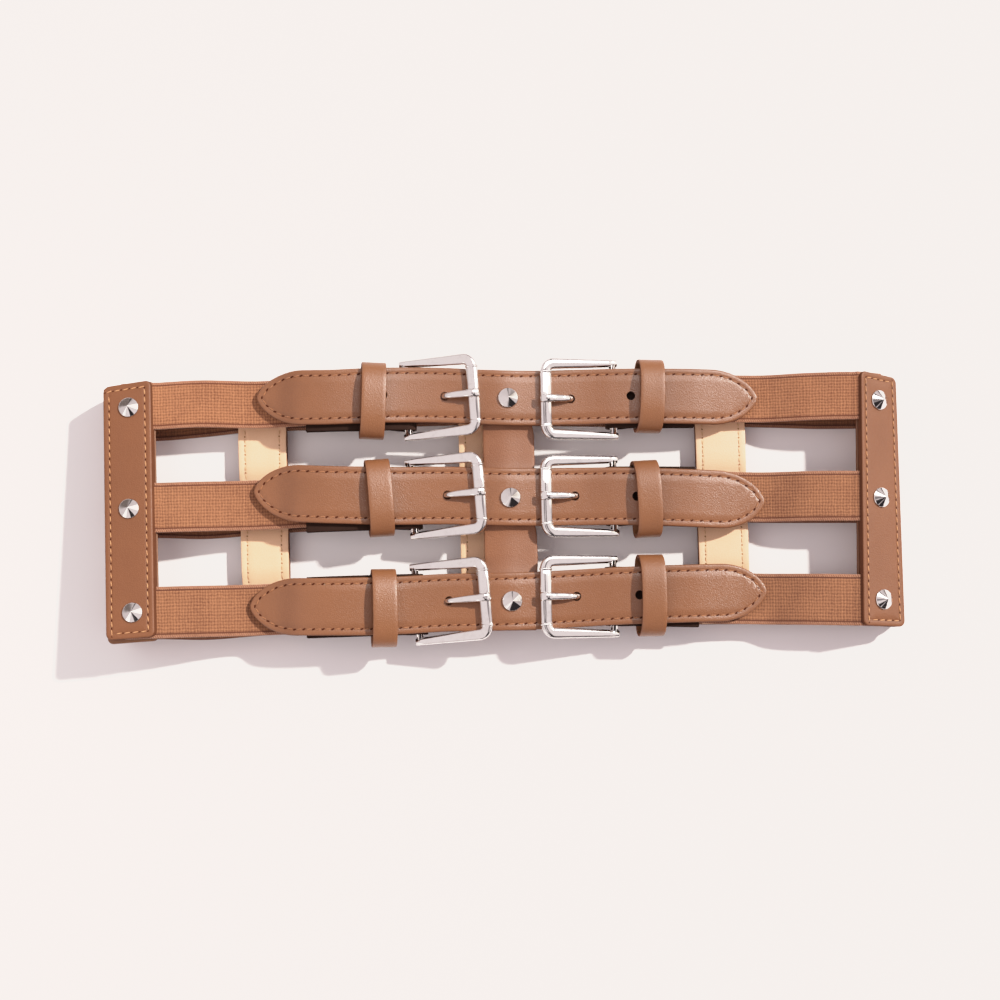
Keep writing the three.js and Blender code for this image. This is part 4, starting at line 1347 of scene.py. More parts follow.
@dataclass
class Strap:
    """A double-ended strap with its seam and its punched holes."""

    plan: RowPlan
    tip_length: float = 20.0
    tip_fullness: float = 2.0
    tip_bluntness: float = 0.64
    tip_shares: tuple[float, ...] = (
        0.002, 0.008, 0.02, 0.045, 0.09, 0.15, 0.23, 0.33, 0.45, 0.59, 0.75, 0.9,
    )
    end_narrowing: float = 0.01
    seam_inset: float = 2.55
    seam_pitch: float = 4.1
    hole_radius: float = 1.9
    post_radius: float = 1.5
    end_start: float = -58
    end_reach: float = 15
    finishes: tuple[Finish, ...] = (STRAP_LEATHER, STRAP_EDGE, CUT_LEATHER)

    def _tip_half(self, share: float) -> float:
        """Gives half the strap's width at a share of its tip's length."""
        return SIZES.strap_width / 2 * (1 - (1 - share) ** self.tip_fullness) ** self.tip_bluntness

    def _outline(self, inset: float) -> list[tuple[float, float]]:
        """Gives the strap's outline laid straight, a set distance inside its edge.

        Args:
            inset: the distance, taken square to the edge.

        Returns:
            The outline, counter-clockwise from its left tip, the same number of points each time.
        """
        half = SIZES.strap_width / 2
        ahead = 0.05
        tip = []
        for share in self.tip_shares:
            width = self._tip_half(share)
            angle = math.atan2(self._tip_half(share * (1 + ahead)) - width, share * ahead * self.tip_length)
            reach = share * self.tip_length + inset * math.sin(angle)
            tip.append((reach, width - inset * math.cos(angle)))
        crossing = min([reach for reach, width in tip if width > 0.0]) - 0.1
        tip = [(reach, width) if width > 0.0 else (crossing, 0.0) for reach, width in tip]
        left, right = self.plan.strap_left, self.plan.strap_right
        lower = [(left + reach, -width) for reach, width in tip]
        lower += [(x, inset - half) for x in spread(left + self.tip_length, right - self.tip_length, 12.0)]
        lower += [(right - reach, -width) for reach, width in reversed(tip)]
        upper = [(x, -y) for x, y in reversed(lower)]
        return lower + upper

    def place(self, point: Vector) -> Vector:
        """Puts a point of the straight, flat strap onto the belt.

        Args:
            point: the point, with the strap's upper face at zero height.

        Returns:
            Its place on the belt.
        """
        height = STRAP_HEIGHT.at(point.x) + SIZES.strap_thick / 2
        ending = smooth_step((self.end_start - point.x) / self.end_reach)
        across = point.y * self.plan.swell * (1 - self.end_narrowing * ending)
        return SETTLING.move(Vector((point.x, across + self.plan.line.at(point.x), point.z + height)))

    def _holes(self) -> list[tuple[float, float, float]]:
        """Lists the stud's hole, the holes in use and the spare ones.

        Returns:
            For each hole its place on the straight strap and its radius.
        """
        spots = [(self.plan.stud[0], self.plan.stud[1], self.post_radius)]
        for side, spot in self.plan.spots.items():
            x, y = BuckleStand.of(spot, side).above(spot.hole_ahead)
            spots.append((x, y, self.hole_radius))
            spare = x + side.sign * spot.hole_pitch
            spots.append((spare, self.plan.line.at(spare), self.hole_radius))
        return [(x, y - self.plan.line.at(x), radius) for x, y, radius in spots]

    def _punch(self, bm: bmesh.types.BMesh) -> bmesh.types.BMesh:
        """Punches the holes through the flat strap.

        Args:
            bm: the strap's mesh; it is freed.

        Returns:
            The punched mesh, with the holes' walls in the third material.
        """
        cutter = bmesh.new()
        holes = self._holes()
        for x, y, radius in holes:
            spot_at = Matrix.Translation((x, y, -1.0))
            bmesh.ops.create_cone(
                cutter, cap_ends=True, segments=28, radius1=radius, radius2=radius, depth=6.0, matrix=spot_at
            )
        pieces = []
        for work in (bm, cutter):
            mesh = bpy.data.meshes.new("work")
            work.to_mesh(mesh)
            work.free()
            pieces.append(bpy.data.objects.new("work", mesh))
            bpy.context.scene.collection.objects.link(pieces[-1])
        strap, tool = pieces
        for finish in self.finishes:
            strap.data.materials.append(finish.material)
        punch = strap.modifiers.new("punch", "BOOLEAN")
        punch.operation = "DIFFERENCE"
        punch.solver = "EXACT"
        punch.object = tool
        graph = bpy.context.evaluated_depsgraph_get()
        punched = bpy.data.meshes.new_from_object(strap.evaluated_get(graph))
        result = bmesh.new()
        result.from_mesh(punched)
        for face in result.faces:
            middle = face.calc_center_median()
            nearest = min(math.dist((middle.x, middle.y), (x, y)) - radius for x, y, radius in holes)
            if nearest < 0.02 and abs(face.normal.z) < 0.5:
                face.material_index = 2
        for edge in result.edges:
            edge.smooth = len({face.material_index == 2 for face in edge.link_faces}) == 1
        for made in pieces:
            bpy.data.objects.remove(made)
        return result

    def build(self) -> None:
        """Makes the strap and its seam."""
        slab = Slab(
            self._outline, SIZES.strap_thick, edge_radius=0.7, seam_inset=self.seam_inset, crown=0.1,
            step=2.2, across_cuts=(-6.0, 0.0, 6.0),
        )
        punched = self._punch(slab.build())
        name = f"strap_{self.plan.number}"
        SHOP.piece(punched, f"{name}_leather", self.finishes, (name,), self.place)
        seam = Seam(self._outline(self.seam_inset), self.seam_pitch, closed=True)
        SHOP.piece(seam.build(), f"{name}_seam", (ORANGE_THREAD, PRICK_SHADE), (), self.place)


@dataclass
class FrontElastic:
    """One elastic from an end tab to the inside of its chape."""

    plan: RowPlan
    side: Side
    tab_entry: float = 1.3
    held_reach: float = 2.7

    def build(self) -> None:
        """Makes the elastic."""
        side, tab = self.side, TABS[self.side]
        height = elastic_height(side)
        slope = (tab.outer[1] - tab.inner[1]) / (tab.outer[0] - tab.inner[0])
        entry = abs(tab.inner[0]) - self.tab_entry
        held_x, held_z = tab.held
        end = held_x + side.sign * self.held_reach

        def level(x: float) -> float:
            """Gives the elastic's height, which takes the tab's slope inside it."""
            return held_z + (x - held_x) * slope if abs(x) > entry - SIZES.slack else height.at(x)

        start = ELASTIC_END[side]
        xs = spread(min(start, side.sign * entry), max(start, side.sign * entry), 2.0)
        xs = [end] + xs if side is Side.LEFT else xs + [end]
        line = [(x, level(x)) for x in xs]

        def place(point: Vector) -> Vector:
            """Puts a point of the straight elastic onto the belt."""
            y = point.y + self.plan.elastic_y(side, point.x)
            return SETTLING.move(Vector((point.x, y, point.z)))

        name = f"front_elastic_{side.value}_{self.plan.number}"
        bm = Ribbon(line, self.plan.elastic_width, 8).build()
        finishes = (ROW_SHADED_FRONT_ELASTICS[self.plan.number],)
        SHOP.piece(bm, f"{name}_web", finishes, (name,), place, SIZES.elastic_thick, rounding=0.4)


@dataclass
class BackElastic:
    """One elastic from inside a tab round its fold, along the back and up into the other tab."""

    plan: RowPlan

    def _held(self, side: Side) -> list[tuple[float, float]]:
        """Gives the stretch inside a tab.

        Args:
            side: the tab's side.

        Returns:
            Places along and up, from near the tab's middle outwards.
        """
        tab = TABS[side]
        x, z = tab.held
        out, up = side.sign * math.cos(tab.tilt), math.sin(tab.tilt)
        return [(x + reach * out, z + reach * up) for reach in FOLD_REACH]

    def build(self) -> None:
        """Makes the elastic."""
        route = self._held(Side.LEFT) + list(LEFT_FOLD) + list(FLOOR_LINE) + list(RIGHT_FOLD)
        route += self._held(Side.RIGHT)[::-1]

        def place(point: Vector) -> Vector:
            """Puts a point of the elastic onto the belt."""
            y = point.y + self.plan.back_line.at(point.x)
            return SETTLING.move(Vector((point.x, y, point.z)))

        name = f"back_elastic_{self.plan.number}"
        bm = Ribbon(flowing(route, 2.0), SIZES.elastic_width, 8).build()
        SHOP.piece(bm, f"{name}_web", (SHADED_BACK_ELASTIC,), (name,), place, SIZES.elastic_thick, rounding=0.4)


@dataclass
class Chape:
    """Leather folded round a heel bar and sewn over the elastic's end.

    Its lower ply rises from the bar and closes on the elastic within its closed reach.
    """

    plan: RowPlan
    side: Side
    width: float = 23.0
    fold_turn: float = 14.0
    slot_half: float = 2.1
    slot_reach: float = 4.9
    closed_reach: float = 8
    rise_reach: float = 3
    rise: float = 1.2

    def _line(self, stand: BuckleStand) -> list[tuple[float, float]]:
        """Draws the leather's middle line.

        Args:
            stand: where its buckle's heel bar is.

        Returns:
            Places along and up, from the lower outer end round the bar to the upper one.
        """
        sign, bar = self.side.sign, stand.heel
        elastic = elastic_height(self.side)
        half = SIZES.ply_thick / 2
        ply_step = half + SIZES.gap + SIZES.elastic_thick / 2
        end, start = CHAPE_END[self.side], ELASTIC_END[self.side]
        closed = SIZES.under_strap + SIZES.ply_thick * 1.5 + SIZES.gap
        closing = [
            (bar.x + sign * self.closed_reach, STRAP_HEIGHT.at(bar.x + sign * self.closed_reach) - closed),
            (bar.x + sign * self.rise_reach, bar.z - SIZES.bend_radius + self.rise),
            (bar.x, bar.z - SIZES.bend_radius),
            (start, elastic.at(start) - ply_step),
        ]
        near = SmoothLine(tuple(sorted(closing)))

        def upper(x: float) -> float:
            """Gives the height of the upper ply."""
            under_strap = STRAP_HEIGHT.at(x) - SIZES.under_strap - half
            return elastic.at(x) + ply_step if abs(x) > abs(start) else under_strap

        def lower(x: float) -> float:
            """Gives the height of the lower ply."""
            return elastic.at(x) - ply_step if abs(x) > abs(start) - 1 else near.at(x)

        xs = spread(min(end, bar.x), max(end, bar.x), 2.0)
        if self.side is Side.RIGHT:
            xs.reverse()
        line = [(x, lower(x)) for x in xs]
        radius = SIZES.bend_radius
        for k in range(1, 10):
            angle = -math.pi / 2 + math.pi * k / 10
            line.append((bar.x - sign * radius * math.cos(angle), bar.z + radius * math.sin(angle)))
        return line + [(x, upper(x)) for x in reversed(xs)]

    def build(self) -> None:
        """Makes the chape, with the slot that lets the prong's eye reach the bar."""
        spot = self.plan.spots[self.side]
        stand = BuckleStand.of(spot, self.side)
        bar = stand.heel
        lean = math.tan(math.radians(spot.yaw))

        def place(point: Vector) -> Vector:
            """Puts a point of the straight chape onto the belt, its fold turned with the buckle.

            Args:
                point: the point, at its height on the belt.

            Returns:
                Its place on the belt.
            """
            share = smooth_step(1 - (abs(point.x) - abs(bar.x)) / self.fold_turn)
            y = point.y * (1 + CHAPE_FLARE[self.side]) + self.plan.elastic_y(self.side, point.x)
            return SETTLING.move(Vector((point.x - lean * (y - bar.y) * share, y, point.z)))

        bm = Ribbon(self._line(stand), self.width, 11).build()
        inward = -self.side.sign
        slot = [
            face
            for face in bm.faces
            if abs(face.calc_center_median().y) < self.slot_half
            and (face.calc_center_median().x - bar.x) * inward > -self.slot_reach
        ]
        bmesh.ops.delete(bm, geom=slot, context="FACES")
        name = f"chape_{self.side.value}_{self.plan.number}"
        SHOP.piece(bm, f"{name}_leather", (CHAPE_LEATHER,), (name,), place, SIZES.ply_thick, rounding=0.3)


@dataclass
class Keeper:
    """The loose leather loop that holds the strap's end down."""

    plan: RowPlan
    side: Side
    width: float = 10.5
    thick: float = 1.5
    head: float = 4.6
    corner: float = 4.6
    dome: float = 9.4
    fullness: float = 2.5

    def _loop(self, tall: float, depth: float) -> list[tuple[float, float]]:
        """Draws the loop's middle line as it is seen along the strap, with a domed top.

        Args:
            tall: the loop's height in plan.
            depth: how far it reaches from its top to its bottom.

        Returns:
            Places across and up, starting and ending under the loop's middle.
        """
        w, h = (tall - self.thick) / 2, (depth - self.thick) / 2
        r = self.corner - self.thick / 2
        dome = min(self.dome, 2 * h - r)
        line = [(0.0, -h), (w / 2, -h)]
        for k in range(6):
            angle = math.radians(-90 + 15 * k)
            line.append((w - r + r * math.cos(angle), r - h + r * math.sin(angle)))
        for k in range(25):
            angle = math.pi * k / 24
            c, s = math.cos(angle), math.sin(angle)
            x = math.copysign(abs(c) ** (2 / self.fullness), c) * w
            line.append((x, h - dome + dome * max(0.0, s) ** (2 / self.fullness)))
        for k in range(1, 7):
            angle = math.radians(180 + 15 * k)
            line.append((-w + r + r * math.cos(angle), r - h + r * math.sin(angle)))
        line += [(-w / 2, -h), (0.0, -h)]
        return line

    def build(self) -> None:
        """Makes the keeper."""
        spot = self.plan.spots[self.side]
        centre_z = STRAP_HEIGHT.at(spot.keeper_x)
        top = centre_z + SIZES.strap_thick / 2 + self.head
        under = centre_z - SIZES.stack_drop - (SIZES.elastic_thick / 2 + SIZES.gap + SIZES.ply_thick)
        bottom = under - SIZES.gap - self.thick - 2 * SIZES.slack
        slope = STRAP_HEIGHT.angle(spot.keeper_x)
        turn = Matrix.Rotation(math.radians(spot.lean), 3, "Z") @ Matrix.Rotation(-slope, 3, "Y")
        middle = Vector((spot.keeper_x, spot.keeper_y, (top + bottom) / 2))

        def place(point: Vector) -> Vector:
            """Stands the loop across its strap, leaning a little."""
            leaning = Vector((point.y + KEEPER_SHEAR[self.side] * point.z, point.x, point.z))
            return SETTLING.move(turn @ leaning + middle)

        name = f"keeper_{self.side.value}_{self.plan.number}"
        bm = Ribbon(self._loop(spot.keeper_tall, top - bottom), self.width, closed=True).build()
        finishes = (KEEPER_LEATHER, STRAP_EDGE)
        SHOP.piece(bm, f"{name}_leather", finishes, (name,), place, self.thick, rounding=0.35)


# Metal


@dataclass(frozen=True)
class Section:
    """One section of a bar: an oval at a squareness of 2, and with flatter faces above that."""

    middle: Vector
    size: tuple[float, float]
    square: float
    heading: Vector = Vector((1, 0, 0))
    up: Vector = Vector((0, 0, 1))

    def mirrored(self) -> "Section":
        """Gives the section on the other half of a level frame."""
        return replace(self, middle=Vector((self.middle.x, -self.middle.y, self.middle.z)))


@dataclass
class Sweep:
    """A bar with a rounded section that gets thicker or thinner on its way."""

    sides: int

    def _ring(self, bm: bmesh.types.BMesh, section: Section) -> list[bmesh.types.BMEdge]:
        """Adds one section.

        Args:
            bm: the mesh to add to.
            section: the section.

        Returns:
            The section's edges.
        """
        made = bmesh.ops.create_circle(bm, cap_ends=False, segments=self.sides, radius=1.0)
        across = section.up.cross(section.heading).normalized()
        power = 2 / section.square
        for vert in made["verts"]:
            angle = math.atan2(vert.co.y, vert.co.x)
            c, s = math.cos(angle), math.sin(angle)
            a = math.copysign(abs(c) ** power, c) * section.size[0] / 2
            b = math.copysign(abs(s) ** power, s) * section.size[1] / 2
            vert.co = section.middle + across * a + section.up * b
        return list({edge for vert in made["verts"] for edge in vert.link_edges})

    def along(self, sections: Sequence[Section]) -> bmesh.types.BMesh:
        """Joins sections into one closed bar.

        Args:
            sections: the bar's sections, in order.

        Returns:
            The bar, closed at both ends.
        """
        bm = bmesh.new()
        rings = [self._ring(bm, section) for section in sections]
        for before, after in zip(rings, rings[1:]):
            bmesh.ops.bridge_loops(bm, edges=before + after)
        for end in (rings[0], rings[-1]):
            bmesh.ops.holes_fill(bm, edges=end, sides=0)
        bmesh.ops.recalc_face_normals(bm, faces=bm.faces[:])
        return bm

    def level(self, sections: Sequence[Section]) -> bmesh.types.BMesh:
        """Joins sections that lie level, each turned square to the way to its neighbours.

        Args:
            sections: the bar's sections, in order.

        Returns:
            The bar, closed at both ends.
        """
        turned = []
        for i, section in enumerate(sections):
            before = sections[max(0, i - 1)].middle
            after = sections[min(len(sections) - 1, i + 1)].middle
            turned.append(replace(section, heading=(after - before).normalized()))
        return self.along(turned)


def absorb(bm: bmesh.types.BMesh, other: bmesh.types.BMesh) -> None:
    """Adds another mesh's faces to a mesh.

    Args:
        bm: the mesh that grows.
        other: the mesh to add; it is freed.
    """
    mesh = bpy.data.meshes.new("work")
    other.to_mesh(mesh)
    other.free()
    bm.from_mesh(mesh)
    bpy.data.meshes.remove(mesh)


PRONG_WIDTHS = SmoothLine(
    (
        (0, 3.2), (8.2, 3.1), (12.2, 2.2), (16.0, 2.2), (18.5, 2.4), (22.0, 2.8), (27.0, 3.2),
        (27.8, 3.2), (28.0, 3.7), (29.1, 3.7), (29.3, 3.3), (30.3, 3.3), (30.5, 3.7), (33.6, 3.7),
    )
)
PRONG_HEIGHTS = SmoothLine(
    ((0, 1.8), (12.2, 1.8), (18.0, 1.7), (25.0, 1.9), (28.0, 2.2), (31.0, 1.9), (33.0, 1.0))
)


@dataclass
class Buckle:
    """A cast frame with its front and heel bars, and the prong on the heel bar."""

    plan: RowPlan
    side: Side
    front_width: float = 35.7
    heel_width: float = 35.1
    wire: float = 4.8
    heel_wire: float = 3.1
    thick: float = 3.2
    corner: float = 6.0
    heel_tail: float = 1.9
    square: float = 2.8
    sleeve_half: float = 11.4
    sleeve_width: float = 5.1
    sleeve_square: float = 2.7
    prong_width: float = 3.2
    prong_half: float = 0.9
    prong_room: float = 0.25
    prong_square: float = 2.3
    eye_wall: float = 1.5

    def _side_sections(self) -> list[Section]:
        """Works out one half of the frame.

        Returns:
            Its sections, from a heel end to the front bar.
        """
        reach = SIZES.frame_reach + SIZES.front_bar_radius
        heel_y = -(self.heel_width - self.heel_wire) / 2
        front_y = -(self.front_width - self.wire) / 2
        corner_x = reach - self.corner
        sections = []
        for share in (0.0, 0.012, 0.15, 0.4, 0.65, 0.85, 1.0):
            x = -self.heel_tail + share * (corner_x + self.heel_tail)
            width = self.heel_wire + (self.wire - self.heel_wire) * share
            size = (width, self.thick) if share else (width - 0.3, self.thick - 0.3)
            middle = Vector((x, heel_y + (front_y - heel_y) * share, 0.0))
            sections.append(Section(middle, size, self.square))
        radius = self.corner - self.wire / 2
        centre = Vector((corner_x, -self.front_width / 2 + self.corner, 0.0))
        for k in range(1, 9):
            angle = -math.pi / 2 + math.pi / 2 * k / 8
            middle = centre + Vector((math.cos(angle), math.sin(angle), 0.0)) * radius
            sections.append(Section(middle, (self.wire, self.thick), self.square))
        inside = Vector((reach - self.wire / 2, -self.sleeve_half, 0.0))
        return sections + [Section(inside, (4.4, 3.0), self.sleeve_square)]

    def _sleeve_sections(self) -> list[Section]:
        """Works out half of the front bar, with the collar at its end.

        Returns:
            Its sections, from the collar to the bar's middle.
        """
        x, half, width = SIZES.frame_reach, self.sleeve_half, self.sleeve_width
        tall = 2 * SIZES.front_bar_rise
        profile = (
            (-half - 0.9, width - 0.2), (-half - 0.75, width + 0.35), (-half - 0.1, width + 0.35),
            (-half, width - 0.25), (-half + 0.35, width),
        )
        return [
            Section(Vector((x, y, 0.0)), (w, tall + w - width), self.sleeve_square) for y, w in profile
        ]

    def _frame(self) -> bmesh.types.BMesh:
        """Makes the frame level.

        Returns:
            The frame's mesh, its heel bar at the origin.
        """
        bm = bmesh.new()
        for half, sides in ((self._side_sections(), 28), (self._sleeve_sections(), 32)):
            whole = half + [section.mirrored() for section in reversed(half)]
            absorb(bm, Sweep(sides).level(whole))
        rod = bmesh.new()
        bmesh.ops.create_cone(
            rod, cap_ends=True, segments=24, radius1=SIZES.heel_bar_radius, radius2=SIZES.heel_bar_radius,
            depth=self.heel_width - self.heel_wire, matrix=Matrix.Rotation(math.pi / 2, 4, "X"),
        )
        absorb(bm, rod)
        return bm

    def _prong_line(self, stand: BuckleStand) -> list[tuple[float, float]]:
        """Draws the prong's middle line, seen from its side.

        Args:
            stand: how the buckle stands.

        Returns:
            Places along and up, from its eye through the hole to its saddle.
        """
        inward = -self.side.sign

        def strap_at(along: float) -> float:
            """Finds the strap over a place along the buckle.

            Args:
                along: how far the place is from the heel bar.

            Returns:
                The height of the strap's middle there, in the buckle's own frame.
            """
            x = stand.heel.x + inward * along * math.cos(stand.tilt)
            z = STRAP_HEIGHT.at(x) - stand.heel.z
            return (z - along * math.sin(stand.tilt)) / math.cos(stand.tilt)

        clear = SIZES.strap_thick / 2 + SIZES.gap + self.prong_room + self.prong_half
        hole, bar = self.plan.spots[self.side].hole_ahead, SIZES.frame_reach
        over = SIZES.front_bar_rise + SIZES.gap + self.prong_half
        line = [(1.6, 2.1), (4.6, strap_at(4.6) - clear)]
        for ahead, face, lift in ((-5.2, -1, 0.0), (-3.0, -1, 0.4), (1.5, 1, 0.2)):
            line.append((hole + ahead, strap_at(hole + ahead) + face * clear + lift))
        line += [(bar - 3.2, over - 0.2), (bar, over), (bar + 2.9, over - 1.0)]
        return line

    def _prong(self, stand: BuckleStand) -> bmesh.types.BMesh:
        """Makes the prong level.

        Args:
            stand: how the buckle stands.

        Returns:
            The prong's mesh, its eye round the origin.
        """
        line = flowing(self._prong_line(stand), 1.2)
        sections = []
        for i, (x, z) in enumerate(line):
            before, after = line[max(0, i - 1)], line[min(len(line) - 1, i + 1)]
            heading = Vector((after[0] - before[0], 0.0, after[1] - before[1])).normalized()
            up = Vector((-heading.z, 0.0, heading.x))
            size = (PRONG_WIDTHS.at(x), PRONG_HEIGHTS.at(x))
            sections.append(Section(Vector((x, 0.0, z)), size, self.prong_square, heading, up))
        bm = Sweep(16).along(sections)
        absorb(bm, self._eye())
        return bm

    def _eye(self) -> bmesh.types.BMesh:
        """Makes the prong's eye.

        Returns:
            Its mesh, round the origin.
        """
        eye = bmesh.new()
        middle = SIZES.heel_bar_radius + SIZES.gap + self.eye_wall / 2
        section = bmesh.ops.create_circle(eye, cap_ends=False, segments=12, radius=1.0)
        for vert in section["verts"]:
            vert.co = Vector((middle + vert.co.x * self.eye_wall / 2, vert.co.y * self.prong_width / 2, 0.0))
        bmesh.ops.spin(
            eye, geom=eye.verts[:] + eye.edges[:], cent=(0, 0, 0), axis=(0, 1, 0), angle=2 * math.pi,
            steps=28, use_merge=True,
        )
        bmesh.ops.recalc_face_normals(eye, faces=eye.faces[:])
        return eye

    def build(self) -> None:
        """Makes the frame and the prong."""
        stand = BuckleStand.of(self.plan.spots[self.side], self.side)
        end = f"{self.side.value}_{self.plan.number}"
        frame, prong = f"buckle_{end}", f"prong_{end}"
        SHOP.piece(self._frame(), f"{frame}_frame", (PLATING,), (frame,), stand.place)
        SHOP.piece(self._prong(stand), f"{prong}_metal", (PLATING,), (prong,), stand.place)


@dataclass
class Stud:
    """A cone stud with its post and back, whose post goes through so much leather."""

    name: str
    spot: Vector
    along: Vector
    through: float
    radius: float = 4.3
    rim: float = 0.7
    height: float = 3.4
    post: float = 1.2
    back: float = 2.6
    back_thick: float = 0.8
    seat: float = 0.4

    def _profile(self) -> list[tuple[float, float]]:
        """Draws half of the stud's section.

        Returns:
            Radii and heights, from the tip round the rim to the middle of the back.
        """
        length = self.through + 2 * SIZES.gap + 4 * SIZES.slack
        slope = (self.height - self.rim) / (self.radius - 0.25)
        profile = [(0.0, self.height - 0.05), (0.12, self.height - 0.1)]
        profile += [(r, self.height - slope * r) for r in (0.3, 0.5, 2.0, 3.7, 3.95)]
        rim = ((0.2, self.rim - 0.02), (0.06, self.rim - 0.16), (0.0, 0.35), (0.06, 0.1), (0.25, 0.0))
        profile += [(self.radius - inset, z) for inset, z in rim]
        profile += [(self.post, 0.0), (self.post, -length), (self.back, -length)]
        return profile + [(self.back, -length - self.back_thick), (0.0, -length - self.back_thick)]

    def build(self) -> None:
        """Makes the stud and stands it straight out of the leather."""
        here = SETTLING.move(self.spot)
        a = SETTLING.move(self.spot + self.along) - here
        b = SETTLING.move(self.spot + Vector((0, 1, 0))) - here
        normal = a.cross(b).normalized()
        bm = bmesh.new()
        verts = [bm.verts.new((r, 0.0, z)) for r, z in self._profile()]
        for before, after in zip(verts, verts[1:]):
            bm.edges.new((before, after))
        bmesh.ops.spin(
            bm, geom=bm.verts[:] + bm.edges[:], cent=(0, 0, 0), axis=(0, 0, 1), angle=2 * math.pi,
            steps=64, use_merge=True,
        )
        bmesh.ops.remove_doubles(bm, verts=bm.verts[:], dist=1e-4)
        bmesh.ops.recalc_face_normals(bm, faces=bm.faces[:])
        turn = Vector((0, 0, 1)).rotation_difference(normal).to_matrix()
        seat = here + normal * SIZES.gap * self.seat
        SHOP.piece(bm, f"{self.name}_cone", (PLATING,), (self.name,), lambda point: turn @ point + seat)


# Tabs and strips


@dataclass(frozen=True)
class RoundedOblong:
    """An upright oblong with round corners, drawn at any distance inside its edge."""

    width: float
    tall: float
    radius: float
    middle: tuple[float, float] = (0.0, 0.0)

    def __call__(self, inset: float) -> list[tuple[float, float]]:
        """Draws the outline.

        Args:
            inset: how far inside the edge it is drawn.

        Returns:
            The outline, counter-clockwise, with the same number of points each time.
        """
        radius = max(0.03, self.radius - inset)
        w = self.width / 2 - inset - radius
        h = self.tall / 2 - inset - radius
        points = []
        for cx, cy, start in ((w, -h, -90), (w, h, 0), (-w, h, 90), (-w, -h, 180)):
            for k in range(6):
                angle = math.radians(start + 18 * k)
                x, y = cx + radius * math.cos(angle), cy + radius * math.sin(angle)
                points.append((x + self.middle[0], y + self.middle[1]))
        return points


@dataclass
class EndTab:
    """An upright end tab: its leather face, its lining, its seam and its studs."""

    side: Side
    lining_gap: float = 0.5
    lining_thick: float = 1.0
    lining_rim: float = 0.3
    corner: float = 2.6
    seam_inset: float = 2.5
    seam_pitch: float = 3.5

    def place(self, point: Vector) -> Vector:
        """Puts a point of the flat tab onto the belt, its ends slanting and its inner wall flaring.

        Args:
            point: the point, with the tab's face at zero height.

        Returns:
            Its place on the belt.
        """
        plan = TABS[self.side]
        top, foot = TAB_SLANTS[self.side]
        share = 0.5 + (point.y - plan.middle_y) / plan.tall
        point = point + Vector((0, point.x * (foot + (top - foot) * share), 0))
        inner = smooth_step(-self.side.sign * point.x / (plan.width / 2))
        out = plan.flare * inner * min(1.0, max(0.0, -point.z / SIZES.tab_face_thick))
        return SETTLING.move(plan.place(point - Vector((self.side.sign * out, 0, 0))))

    def build(self) -> None:
        """Makes the tab, its lining, its seam and its studs."""
        plan = TABS[self.side]
        outline = RoundedOblong(plan.width, plan.tall, self.corner, (0.0, plan.middle_y))
        cuts = tuple(spread(plan.middle_y - plan.tall / 2, plan.middle_y + plan.tall / 2, 6.0)[1:-1])
        end = self.side.value
        face = Slab(
            outline, SIZES.tab_face_thick, edge_radius=0.6, seam_inset=self.seam_inset, crown=0.12,
            step=4.0, across_cuts=cuts,
        )
        name = f"tab_face_{end}"
        SHOP.piece(face.build(), f"{name}_leather", (TAB_LEATHER, TAB_EDGE_PAINT_AND_SHADE), (name,), self.place)
        middle = (0.0, plan.middle_y - plan.foot / 2)
        under = RoundedOblong(plan.width + self.lining_rim, plan.tall + plan.foot, self.corner, middle)
        lining = Slab(under, self.lining_thick, edge_radius=0.3, step=4.0, across_cuts=cuts)
        drop = SIZES.tab_face_thick + self.lining_gap

        def place_lining(point: Vector) -> Vector:
            """Puts a point of the flat lining under the face."""
            return self.place(point - Vector((0, 0, drop)))

        name = f"tab_lining_{end}"
        SHOP.piece(lining.build(), f"{name}_leather", (SHADED_TAB_BACK, TAB_EDGE_PAINT_AND_SHADE), (name,), place_lining)
        seam = Seam(
            outline(self.seam_inset), self.seam_pitch, closed=True, thread_length=2.6, thread_width=0.52,
            hole=(0.42, 0.24),
        )
        SHOP.piece(seam.build(), f"tab_seam_{end}", (LIGHT_THREAD, PRICK_SHADE), (), self.place)
        along = plan.place(Vector((1, 0, 0))) - plan.place(Vector((0, 0, 0)))
        through = drop + self.lining_thick
        for row, (x, y) in enumerate(plan.studs, 1):
            Stud(f"stud_{end}_{row}", plan.place(Vector((x, y, 0))), along, through).build()


